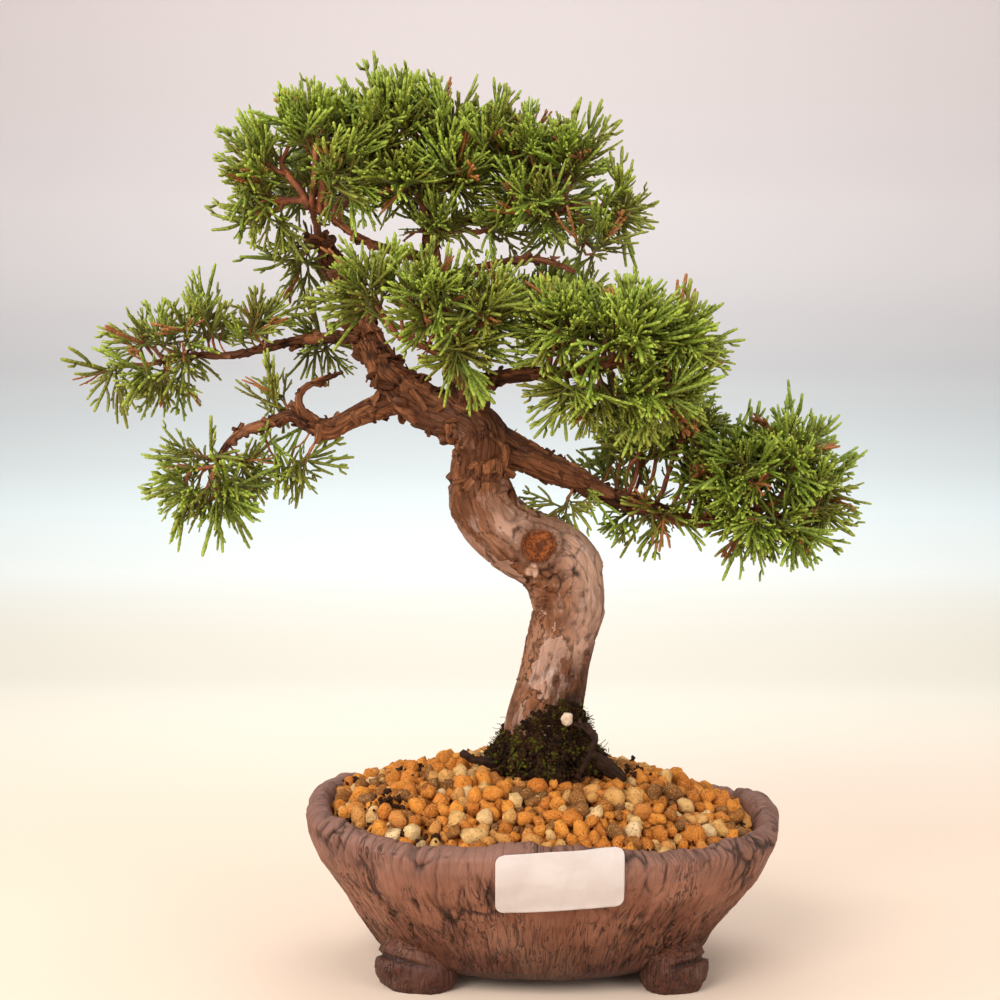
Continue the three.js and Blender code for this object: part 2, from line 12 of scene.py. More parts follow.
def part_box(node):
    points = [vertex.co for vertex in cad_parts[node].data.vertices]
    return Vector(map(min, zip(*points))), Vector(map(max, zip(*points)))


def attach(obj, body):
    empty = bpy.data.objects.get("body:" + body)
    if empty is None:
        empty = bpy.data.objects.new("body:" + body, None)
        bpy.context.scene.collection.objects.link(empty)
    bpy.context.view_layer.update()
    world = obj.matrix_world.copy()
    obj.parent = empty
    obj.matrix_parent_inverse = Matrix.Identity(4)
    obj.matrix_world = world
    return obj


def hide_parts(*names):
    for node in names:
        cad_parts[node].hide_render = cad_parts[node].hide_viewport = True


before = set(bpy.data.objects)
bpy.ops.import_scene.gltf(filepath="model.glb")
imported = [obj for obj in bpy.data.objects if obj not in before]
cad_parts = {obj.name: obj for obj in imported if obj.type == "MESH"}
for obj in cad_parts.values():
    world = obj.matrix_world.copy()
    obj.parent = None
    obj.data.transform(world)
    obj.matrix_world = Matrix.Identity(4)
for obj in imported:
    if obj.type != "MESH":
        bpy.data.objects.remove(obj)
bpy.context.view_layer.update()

# ---------------------------------------------------------------- sizes, in millimetres

MM = 0.001
POT_LENGTH = 180.0
POT_DEPTH = 134.0
RIM_HEIGHT = 60.0
RIM_TILT = 4.5
RIM_LEAN = 3.2
RIM_RIPPLE = 1.2
WALL = 9.0
FLOOR_THICKNESS = 9.0
FOOT_CLEARANCE = 5.5
FOOT_WIDTH = 24.0
FOOT_HEIGHT = 19.0
FEET = [(-1, -1, 31, 17), (1, -1, 25, 15), (1, 1, 28, 16), (-1, 1, 29, 16)]
# The flank: shares of the height and of the outline, from the underside to the rim.
FLANK = [(0, 0.6), (0.08, 0.69), (0.25, 0.76), (0.42, 0.83), (0.66, 0.94), (0.86, 0.99), (0.95, 1),
         (1, 0.975)]
DRAIN_RADIUS = 7.0
SOIL_BELOW_RIM = 5.0
MOUND_RISE = 22.0
SOIL_LINE = RIM_HEIGHT - SOIL_BELOW_RIM + MOUND_RISE
LABEL_LENGTH = 44.0
LABEL_HEIGHT = 21.0
LABEL_SIDE = 5.0
LABEL_DROP = 10.0
LABEL_TILT = 0.06
SCAR_CENTRE = (-1.0, -14.0, 83.0)
SCAR_AXIS = (-0.06, -1.0, 0.1)
BLEACHED_SPOT = (-3.2, -15.0, 73.6)
TURN = 2 * math.pi

POT_SIDES = 800
FLANK_RINGS = 94
GRAIN_COUNT = 2400
GRAIN_RADII = (1.25, 4.0)
GRAIN_BED_DEPTH = 8.0
SETTLING_STEPS = 46
CRUMB_NESTS = 26
CRUMBS_BY_RIM = 70
CRUMBS_BY_TRUNK = 520
TRUNK_SIDES = 150
TRUNK_RING_SPACING = 0.58
LOOSE_TRUNK_FLAKES = 240
MOSS_CLUMPS = 5600
MOSS_STRANDS = 1300
TWIG_STEP = 3.2
TWIG_SIDES = 5
LOBE_CROWDING = 0.078
CORD_RADIUS = 0.68

# Centrelines (x, y, z, radius) from the foot of the trunk at the soil line.
TRUNK = [(2, 0, -15, 16), (2, 0, -3, 19), (2, 0, 6, 17), (2, 0, 16, 15), (4, 1, 26, 13.6), (6, 2, 37, 12.8),
         (9, 3, 49, 12.9), (11, 3, 60, 13.8), (9, 2, 71, 14.7), (3, 0, 79, 14.2), (-7, -3, 84, 13.2),
         (-16, -5, 90, 12.3), (-22, -6, 99, 11.6), (-23, -5, 109, 10.8), (-22, -3, 118, 10.2),
         (-24, -1, 126, 9.6), (-32, 0, 131, 9.2), (-43, 1, 135, 8.4), (-52, 3, 141, 7.4), (-60, 6, 150, 6.2),
         (-65, 9, 160, 5), (-70, 12, 170, 4.4), (-75, 15, 182, 4), (-82, 17, 194, 3.8), (-87, 18, 204, 3.2)]
BRANCHES = {
    "right_branch": [(-16, -3, 121, 7), (-9, 0, 118, 6.5), (2, 2, 113, 6), (14, 5, 108, 5.4),
                     (28, 8, 101, 4.7), (42, 10, 97, 4.1), (59, 10, 92, 3.3), (73, 8, 92, 2.4),
                     (87, 5, 97, 1.7)],
    "left_lower_branch": [(-53, 3, 139, 5), (-64, 0, 135, 4.5), (-73, -3, 131, 4), (-81, -5, 127, 4.5),
                          (-88, -7, 129, 3.8), (-95, -8, 132, 3), (-103, -9, 129, 2.7), (-112, -10, 126, 2.4),
                          (-118, -11, 121, 2.1), (-122, -12, 113, 1.7)],
    "hooked_twig": [(-85, -9, 130, 1.9), (-90, -13, 134, 2), (-91, -13, 139, 2), (-88, -11, 143, 1.9),
                    (-82, -7, 146, 1.7), (-76, -1, 149, 1.5)],
    "left_upper_branch": [(-64, 9, 163, 3.1), (-76, 8, 163, 2.9), (-85, 7, 163, 2.7), (-99, 6, 161, 2.5),
                          (-111, 6, 158, 2.3), (-122, 5, 156, 2.1), (-137, 4, 156, 1.8), (-148, 3, 153, 1.5)],
    "crown_leader": [(-27, 1, 126, 7), (-30, 6, 139, 5.2), (-32, 10, 150, 4.8), (-35, 14, 164, 4.5),
                     (-39, 16, 180, 4.4), (-42, 15, 194, 4.2), (-43, 13, 206, 3.6), (-45, 10, 218, 2.9),
                     (-47, 7, 229, 2.2)],
    "crown_left_limb": [(-42, 15, 194, 3), (-52, 6, 196, 2.8), (-60, 2, 197, 2.5), (-70, -2, 201, 2.3),
                        (-79, -5, 207, 2.1), (-89, -7, 213, 1.8)],
    "crown_right_limb": [(-43, 13, 204, 3.4), (-35, 12, 208, 3.4), (-25, 12, 211, 3.2), (-13, 11, 212, 3),
                         (0, 10, 212, 2.6), (12, 9, 214, 2.2)],
    "front_branch": [(-24, -4, 134, 5), (-27, -12, 141, 4.4), (-19, -20, 145, 3.8), (-5, -26, 146, 3.3),
                     (12, -29, 147, 2.8), (30, -31, 150, 2.2)],
    "front_left_branch": [(-26, -11, 141, 3.3), (-32, -24, 149, 2.8), (-41, -32, 155, 2.3),
                          (-52, -35, 159, 1.8)],
    "back_branch": [(-36, 15, 167, 3.6), (-30, 28, 172, 3.1), (-18, 40, 176, 2.6), (-3, 49, 180, 2)],
    "right_twig": [(-39, 14, 187, 2.6), (-24, 4, 190, 2.3), (-9, -3, 192, 2), (3, -5, 191, 1.8),
                   (13, -6, 187, 1.6)],
    "inner_left_twig": [(-67, 12, 166, 2.2), (-75, 18, 166, 1.8), (-81, 21, 167, 1.5)],
    "apex_twig": [(-85, 18, 199, 2.4), (-90, 19, 202, 2), (-93, 20, 205, 1.6)],
}
ROOTS = {
    "left_root": [(-14, -9, -1, 3), (-20, -12, 1, 2.6), (-26, -14, 3, 2.1), (-30, -14, 5, 1.6)],
    "looped_root": [(11, -12, 16, 1.3), (17, -16, 15, 1.5), (20, -19, 11, 1.5), (17, -21, 4, 1.5),
                    (13, -21, -3, 1.4)],
    "thick_root": [(13, -5, 5, 3.8), (19, -9, 2, 3.6), (25, -11, -1, 3), (31, -13, -5, 2.3)],
}


def middle_of(node):
    low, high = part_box(node)
    return (low + high) / 2


# The pot's own middle, which lies halfway between its two drain screens.
pot_middle = (middle_of("left_drain_screen") + middle_of("right_drain_screen")) / 2
ORIGIN = np.array([pot_middle.x, pot_middle.y, 0.0])


def to_frame(points):
    """Millimetres from the pot's middle to metres in the row's frame."""
    return np.asarray(points, float) * MM + ORIGIN


# ---------------------------------------------------------------- noise and curves


def hashed(ix, iy, iz, seed):
    n = (ix * 73856093) ^ (iy * 19349663) ^ (iz * 83492791) ^ np.int64(seed * 2654435761 % (1 << 31))
    n = ((n ^ (n >> 13)) * 1274126177) & 0xFFFFFFFF
    n = ((n ^ (n >> 16)) * 2246822519) & 0xFFFFFFFF
    return ((n ^ (n >> 15)) & 0xFFFFFFFF) / 4294967295.0


def noise(points, seed=0):
    """Smooth noise from -1 to 1."""
    points = np.asarray(points, float)
    whole = np.floor(points).astype(np.int64)
    part = points - whole
    part = part * part * part * (part * (part * 6 - 15) + 10)
    total = np.zeros(len(points))
    for corner in range(8):
        dx, dy, dz = corner & 1, (corner >> 1) & 1, corner >> 2
        weight = (part[:, 0] if dx else 1 - part[:, 0]) * (part[:, 1] if dy else 1 - part[:, 1])
        weight = weight * (part[:, 2] if dz else 1 - part[:, 2])
        total += weight * hashed(whole[:, 0] + dx, whole[:, 1] + dy, whole[:, 2] + dz, seed)
    return total * 2 - 1


def rough(points, octaves=4, seed=0, gain=0.5):
    """Several octaves of noise, about -1 to 1."""
    total = np.zeros(len(points))
    weight, scale, most = 1.0, 1.0, 0.0
    for octave in range(octaves):
        total += weight * noise(np.asarray(points) * scale, seed + octave * 17)
        most += weight
        weight *= gain
        scale *= 2.03
    return total / most


def cells(points, seed=0):
    """Distance to the nearest and the next cell point, and the nearest one's own number from 0 to 1."""
    points = np.asarray(points, float)
    whole = np.floor(points).astype(np.int64)
    near = np.full(len(points), 9.0)
    second = np.full(len(points), 9.0)
    name = np.zeros(len(points))
    for dx in (-1, 0, 1):
        for dy in (-1, 0, 1):
            for dz in (-1, 0, 1):
                cx, cy, cz = whole[:, 0] + dx, whole[:, 1] + dy, whole[:, 2] + dz
                px = cx + hashed(cx, cy, cz, seed + 1)
                py = cy + hashed(cx, cy, cz, seed + 2)
                pz = cz + hashed(cx, cy, cz, seed + 3)
                far = np.sqrt((points[:, 0] - px) ** 2 + (points[:, 1] - py) ** 2 + (points[:, 2] - pz) ** 2)
                closer = far < near
                second = np.where(closer, near, np.minimum(second, far))
                name = np.where(closer, hashed(cx, cy, cz, seed + 4), name)
                near = np.where(closer, far, near)
    return near, second, name


def step_between(low, high, value):
    t = np.clip((np.asarray(value, float) - low) / (high - low), 0, 1)
    return t * t * (3 - 2 * t)


def smooth_path(points, spacing):
    """An even run of (x, y, z, radius) along a smooth curve through the points."""
    given = np.asarray(points, float)
    padded = np.vstack([2 * given[0] - given[1], given, 2 * given[-1] - given[-2]])
    fine = []
    for i in range(1, len(padded) - 2):
        a, b, c, d = padded[i - 1], padded[i], padded[i + 1], padded[i + 2]
        for t in np.linspace(0, 1, 16, endpoint=False):
            fine.append(0.5 * (2 * b + (c - a) * t + (2 * a - 5 * b + 4 * c - d) * t * t
                               + (3 * b - a - 3 * c + d) * t ** 3))
    fine.append(given[-1])
    fine = np.array(fine)
    run = np.concatenate([[0], np.cumsum(np.linalg.norm(np.diff(fine[:, :3], axis=0), axis=1))])
    count = max(int(round(run[-1] / spacing)), 2) + 1
    at = np.linspace(0, run[-1], count)
    return np.column_stack([np.interp(at, run, fine[:, k]) for k in range(4)]), at


def carried_frames(centres):
    """Tangent and two normals at each point of a path, turning as little as possible."""
    tangent = np.gradient(centres, axis=0)
    tangent /= np.linalg.norm(tangent, axis=1)[:, None]
    start = np.array([1.0, 0, 0]) if abs(tangent[0, 2]) > 0.8 else np.array([0, 0, 1.0])
    normal = np.zeros_like(centres)
    carried = start
    for i, direction in enumerate(tangent):
        carried = carried - direction * carried.dot(direction)
        carried = carried / np.linalg.norm(carried)
        normal[i] = carried
    return tangent, normal, np.cross(tangent, normal)


# ---------------------------------------------------------------- meshes


def mesh_from(name, points, faces, attributes=None, smooth=True):
    """A mesh from points in the row's frame, faces of any size, and point attributes."""
    mesh = bpy.data.meshes.new(name)
    mesh.from_pydata(np.asarray(points, float).tolist(), [], [list(map(int, face)) for face in faces])
    for key, values in (attributes or {}).items():
        values = np.asarray(values, np.float32)
        kind = "FLOAT_VECTOR" if values.ndim == 2 else "FLOAT"
        field = mesh.attributes.new(key, kind, "POINT")
        field.data.foreach_set("vector" if values.ndim == 2 else "value", values.ravel())
    mesh.polygons.foreach_set("use_smooth", [smooth] * len(mesh.polygons))
    mesh.update()
    return mesh


def piece(name, mesh, nodes):
    """Puts a finished mesh in the scene as a piece of the object."""
    made = bpy.data.objects.new(name, mesh)
    bpy.context.scene.collection.objects.link(made)
    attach(made, "root")
    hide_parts(*nodes)


def skin_piece(name, shape, finish, nodes):
    """A piece made straight from a shape: its points in the row's frame, faces and marks."""
    mesh = mesh_from(name, *shape)
    mesh.materials.append(finish)
    piece(name, mesh, nodes)


def grid_faces(rings, sides, first=0):
    """Quads between closed rings of points."""
    faces = []
    for ring in range(rings - 1):
        low = first + ring * sides
        for i in range(sides):
            j = (i + 1) % sides
            faces.append((low + i, low + j, low + sides + j, low + sides + i))
    return faces


def closed_faces(rings, sides, first=0):
    """Quads between closed rings, and a fan to the points that close the first and the last ring."""
    end, last = first + rings * sides, first + (rings - 1) * sides
    fans = [(end, first + (i + 1) % sides, first + i) for i in range(sides)]
    fans += [(end + 1, last + i, last + (i + 1) % sides) for i in range(sides)]
    return grid_faces(rings, sides, first) + fans


def card_faces(across, up):
    """Both skins of a thin card, laid out as two grids of points, and the edge between them."""
    count = across * up
    faces = []
    for row in range(up - 1):
        for column in range(across - 1):
            i = row * across + column
            faces.append((i, i + 1, i + across + 1, i + across))
            faces.append((count + i + across, count + i + across + 1, count + i + 1, count + i))
    edge = list(range(across)) + [row * across + across - 1 for row in range(1, up)]
    edge += [(up - 1) * across + column for column in range(across - 2, -1, -1)]
    edge += [row * across for row in range(up - 2, 0, -1)]
    return faces + [(b, a, count + a, count + b) for a, b in zip(edge, edge[1:] + edge[:1])]


def card_grid(across, up):
    """Two grids that run from -1 to 1 across and up a card."""
    u, v = np.meshgrid(np.linspace(-1, 1, across), np.linspace(-1, 1, up))
    return u, v


def sphere_grid(rings, sides):
    """Points of a unit ball in rings from the bottom up, without its two poles."""
    rise = np.linspace(-math.pi / 2, math.pi / 2, rings + 2)[1:-1, None]
    angle = np.arange(sides)[None, :] / sides * TURN
    level = np.sin(rise) * np.ones(sides)[None, :]
    ball = np.stack([np.cos(rise) * np.cos(angle), np.cos(rise) * np.sin(angle), level], axis=-1)
    return ball.reshape(-1, 3)


def joined(parts):
    """Several (points, faces, attributes) as one."""
    points, faces, attributes = [], [], {}
    count = 0
    for part_points, part_faces, part_attributes in parts:
        points.append(part_points)
        faces += [tuple(i + count for i in face) for face in part_faces]
        for key, values in part_attributes.items():
            attributes.setdefault(key, []).append(values)
        count += len(part_points)
    return np.vstack(points), faces, {key: np.concatenate(values) for key, values in attributes.items()}


def limb(points, sides, spacing, relief=None):
    """A closed tapering limb in millimetres. relief gives how far its skin stands out, and its marks."""
    blunt = 0.6  # how far the ends are drawn out, as a share of the radius
    path, along = smooth_path(points, spacing)
    centres, radius = path[:, :3], np.maximum(path[:, 3], 0.2)
    tangent, normal, side = carried_frames(centres)
    angle = np.arange(sides) / sides * TURN
    out = np.cos(angle)[None, :, None] * normal[:, None, :] + np.sin(angle)[None, :, None] * side[:, None, :]
    girth = radius[:, None] * np.ones(sides)[None, :]
    skin = centres[:, None, :] + out * girth[:, :, None]
    straight = np.stack([np.cos(angle)[None, :] * girth, np.sin(angle)[None, :] * girth,
                         along[:, None] * np.ones(sides)[None, :]], axis=-1)
    count = len(centres) * sides
    marks = {}
    if relief:
        rise, marks = relief(skin.reshape(count, 3), straight.reshape(count, 3), out.reshape(count, 3),
                             girth.reshape(count))
        skin = (skin.reshape(count, 3) + out.reshape(count, 3) * rise[:, None]).reshape(skin.shape)
    start = centres[0] - tangent[0] * radius[0] * blunt
    end = centres[-1] + tangent[-1] * radius[-1] * blunt
    points_out = np.vstack([skin.reshape(count, 3), start, end])
    attributes = {"straight": np.vstack([straight.reshape(count, 3), [0, 0, 0], [0, 0, along[-1]]])}
    for key, values in marks.items():
        ends = [values[:sides].mean(), values[-sides:].mean()]
        attributes[key] = np.concatenate([values, ends])
    return points_out, closed_faces(len(centres), sides), attributes


def on_soil(points):
    """Points measured from the foot of the trunk, in the row's frame."""
    return to_frame(np.asarray(points, float) + [0, 0, SOIL_LINE])


def raised(line):
    """A centreline measured from the foot of the trunk, as one measured from the floor."""
    return np.asarray(line, float) + [0, 0, SOIL_LINE, 0]


# ---------------------------------------------------------------- shader groups and materials


def new_socket(tree, name, way, kind, value=None):
    made = tree.interface.new_socket(name, in_out=way, socket_type=kind)
    if value is not None:
        made.default_value = value


class Board:
    """Adds nodes to a shader tree and links them, so that a material reads from top to bottom."""

    def __init__(self, tree):
        self.tree = tree

    def node(self, kind, inputs=None, **settings):
        made = self.tree.nodes.new(kind)
        for key, value in settings.items():
            setattr(made, key, value)
        for key, value in (inputs or {}).items():
            self.feed(made.inputs[key], value)
        return made

    def feed(self, socket, value):
        if isinstance(value, bpy.types.NodeSocket):
            self.tree.links.new(value, socket)
        else:
            socket.default_value = value

    def math(self, operation, a, b=0.0, clamp=False):
        return self.node("ShaderNodeMath", {0: a, 1: b}, operation=operation, use_clamp=clamp).outputs[0]

    def times(self, a, b):
        return self.math("MULTIPLY", a, b)

    def plus(self, a, b):
        return self.math("ADD", a, b)

    def less(self, a, b):
        return self.math("SUBTRACT", a, b)

    def mix(self, share, a, b):
        """Blends two colours, each a socket or a plain (red, green, blue) shade."""
        made = self.node("ShaderNodeMix", {0: share}, data_type="RGBA")
        for socket, value in ((made.inputs[6], a), (made.inputs[7], b)):
            self.feed(socket, colour(*value) if isinstance(value, tuple) else value)
        return made.outputs[2]

    def ramp(self, value, stops):
        """A colour ramp through (position, shade) stops."""
        made = self.node("ShaderNodeValToRGB", {0: value})
        elements = made.color_ramp.elements
        for element, (position, shade) in zip(elements, (stops[0], stops[-1])):
            element.position, element.color = position, colour(*shade)
        for position, shade in stops[1:-1]:
            elements.new(position).color = colour(*shade)
        return made.outputs[0]

    def between(self, value, low, high, to_low=0.0, to_high=1.0):
        inputs = {0: value, 1: low, 2: high, 3: to_low, 4: to_high}
        return self.node("ShaderNodeMapRange", inputs, interpolation_type="SMOOTHSTEP").outputs[0]

    def mark(self, name, part="Fac"):
        return self.node("ShaderNodeAttribute", attribute_name=name).outputs[part]

    def stretched(self, vector, scale):
        return self.node("ShaderNodeMapping", {"Vector": vector, "Scale": scale}).outputs[0]

    def noise(self, vector, scale, detail=4.0, roughness=0.55, distortion=0.0):
        inputs = {"Vector": vector, "Scale": scale, "Detail": detail, "Roughness": roughness,
                  "Distortion": distortion}
        return self.node("ShaderNodeTexNoise", inputs).outputs[0]

    def cells(self, vector, scale, feature="F1", part="Distance"):
        inputs = {"Vector": vector, "Scale": scale}
        return self.node("ShaderNodeTexVoronoi", inputs, feature=feature).outputs[part]

    def vector(self, operation, inputs):
        return self.node("ShaderNodeVectorMath", inputs, operation=operation).outputs[0]

    def parts(self, vector):
        return self.node("ShaderNodeSeparateXYZ", {0: vector}).outputs

    def place(self):
        return self.node("ShaderNodeTexCoord").outputs["Object"]

    def straight(self):
        """Where a spot lies on its limb, laid out straight, in metres."""
        return self.vector("MULTIPLY", {0: self.mark("straight", "Vector"), 1: (MM, MM, MM)})

    def group(self, tree, inputs):
        made = self.node("ShaderNodeGroup", node_tree=tree)
        for key, value in inputs.items():
            self.feed(made.inputs[key], value)
        return made.outputs

    def mottle(self, patch_scale, grit_scale):
        inputs = {"Vector": self.place(), "Patch Scale": patch_scale, "Grit Scale": grit_scale}
        return self.group(MOTTLE, inputs)

    def fibre(self, straight, across, along, waver):
        return self.group(FIBRE, {"Straight": straight, "Across": across, "Along": along, "Waver": waver})


def colour(red, green, blue):
    """A colour from 0 to 255 a channel, as the eye sees it, for a shader."""
    def one(value):
        value = value / 255
        return value / 12.92 if value <= 0.04045 else ((value + 0.055) / 1.055) ** 2.4
    return (one(red), one(green), one(blue), 1.0)


def shader_group(name, inputs, outputs):
    tree = bpy.data.node_groups.new(name, "ShaderNodeTree")
    for label, (kind, value) in inputs.items():
        new_socket(tree, label, "INPUT", kind, value)
    for label, kind in outputs.items():
        new_socket(tree, label, "OUTPUT", kind)
    board = Board(tree)
    start = tree.nodes.new("NodeGroupInput")
    end = tree.nodes.new("NodeGroupOutput")
    return tree, board, start.outputs, end.inputs


def mottle_group():
    """Slow patches, fine grit and pits: the unevenness that every dry natural surface has."""
    tree, board, given, out = shader_group(
        "dry_mottle",
        {"Vector": ("NodeSocketVector", None), "Patch Scale": ("NodeSocketFloat", 60.0),
         "Grit Scale": ("NodeSocketFloat", 900.0)},
        {"Patches": "NodeSocketFloat", "Grit": "NodeSocketFloat", "Pits": "NodeSocketFloat"})
    patches = board.noise(given["Vector"], given["Patch Scale"], 3.0, 0.6, 0.4)
    grit = board.noise(given["Vector"], given["Grit Scale"], 3.0, 0.7)
    spots = board.cells(given["Vector"], board.times(given["Grit Scale"], 0.6))
    board.feed(out["Patches"], board.between(patches, 0.3, 0.7))
    board.feed(out["Grit"], grit)
    board.feed(out["Pits"], board.between(spots, 0.08, 0.3, 1.0, 0.0))
    return tree


def fibre_group():
    """Streaks and split lines that run along a limb or down a wall, from its straightened coordinates."""
    tree, board, given, out = shader_group(
        "long_fibre",
        {"Straight": ("NodeSocketVector", None), "Across": ("NodeSocketFloat", 500.0),
         "Along": ("NodeSocketFloat", 60.0), "Waver": ("NodeSocketFloat", 0.6)},
        {"Streaks": "NodeSocketFloat", "Splits": "NodeSocketFloat"})
    scales = {0: given["Across"], 1: given["Across"], 2: given["Along"]}
    scale = board.node("ShaderNodeCombineXYZ", scales).outputs[0]
    drawn = board.vector("MULTIPLY", {0: given["Straight"], 1: scale})
    streaks = board.noise(drawn, 1.0, 4.0, 0.6, given["Waver"])
    edges = board.cells(drawn, 0.55, "DISTANCE_TO_EDGE")
    board.feed(out["Streaks"], streaks)
    board.feed(out["Splits"], board.between(edges, 0.0, 0.12, 1.0, 0.0))
    return tree


MOTTLE = mottle_group()
FIBRE = fibre_group()


def material(name):
    made = bpy.data.materials.new(name)
    made.use_nodes = True
    board = Board(made.node_tree)
    shader = made.node_tree.nodes["Principled BSDF"]
    return made, board, shader


def bump(board, shader, height, strength, distance):
    made = board.node("ShaderNodeBump", {"Strength": strength, "Distance": distance, "Height": height})
    board.feed(shader.inputs["Normal"], made.outputs[0])


def surface(board, shader, base, roughness, specular=0.5):
    board.feed(shader.inputs["Base Color"], base)
    board.feed(shader.inputs["Roughness"], roughness)
    shader.inputs["Specular IOR Level"].default_value = specular


def clay_material():
    made, board, shader = material("unglazed_brown_clay")
    place = board.place()
    mottle = board.mottle(45.0, 1500.0)
    fibre = board.fibre(board.mark("straight", "Vector"), 620.0, 90.0, 1.4)
    crack = board.mark("crack")
    lip = board.mark("lip")
    base = board.mix(mottle["Patches"], (116, 68, 46), (146, 96, 72))
    base = board.mix(board.between(fibre["Streaks"], 0.4, 0.75, 0.0, 0.18), base, (92, 56, 42))
    height_up = board.parts(place)[2]
    # Paler towards the rim: partly the clay's own purplish tone, partly painted light.
    base = board.mix(board.between(height_up, 0.034, 0.058, 0.0, 0.5), base, (126, 90, 77))
    # Darker towards the underside and the feet: painted shade.
    base = board.mix(board.between(height_up, 0.006, 0.034, 0.85, 0.0), base, (56, 21, 9))
    run = board.stretched(board.mark("straight", "Vector"), (1.0, 1.0, 0.17))
    wave = board.math("ABSOLUTE", board.less(board.noise(run, 480.0, 2.0, 0.5, 0.9), 0.5))
    worked = board.plus(board.noise(place, 38.0, 2.0), board.between(height_up, 0.012, 0.06, 0.12, -0.08))
    crease = board.times(board.between(wave, 0.0, 0.035, 1.0, 0.0), board.between(worked, 0.44, 0.56))
    # The creases are grooves in the bump and are painted dark: painted shade in the grooves.
    base = board.mix(board.times(crease, 0.75), base, (46, 25, 18))
    # The rolled lip is paler: partly the clay's own purplish tone, partly painted light.
    base = board.mix(board.times(lip, 0.7), base, (122, 88, 76))
    # Splits, gouges, nicks, furrows and the slits of the feet are painted dark: painted shade in the hollows.
    base = board.mix(board.times(crack, 0.9), base, (46, 27, 20))
    base = board.mix(board.times(board.mark("dust"), board.times(mottle["Grit"], 0.6)),
                     base, (166, 134, 106))
    surface(board, shader, base, board.between(fibre["Streaks"], 0.2, 0.8, 0.42, 0.66), 0.32)
    height = board.plus(board.times(fibre["Streaks"], 0.35),
                        board.times(mottle["Grit"], 0.35))
    height = board.less(height, board.times(fibre["Splits"], 0.35))
    height = board.less(height, board.times(crease, 1.3))
    bump(board, shader, height, 0.75, 0.001)
    return made


# ---------------------------------------------------------------- pot


def outline(angle):
    power = 2.25
    across = np.abs(np.cos(angle)) ** power + np.abs(np.sin(angle)) ** power
    uneven = 1 + 0.009 * np.sin(3 * angle + 0.7) + 0.006 * np.sin(5 * angle + 2.2)
    reach = uneven / across ** (1 / power)
    return np.cos(angle) * reach * POT_LENGTH / 2, np.sin(angle) * reach * POT_DEPTH / 2


def rim_height(angle):
    ripple = np.sin(4 * angle + 1.1) + 0.6 * np.sin(7 * angle + 0.4)
    return RIM_HEIGHT + RIM_TILT * np.sin(angle) - RIM_LEAN * np.cos(angle) + RIM_RIPPLE * ripple


INNER_FLOOR = FOOT_CLEARANCE + FLOOR_THICKNESS
# The inner wall: share of the height, share of the outline, and inset.
INSIDE = [(0.8, 0.965, WALL), (0.5, 0.87, WALL), (0.2, 0.76, WALL), (0, 0.64, WALL)]


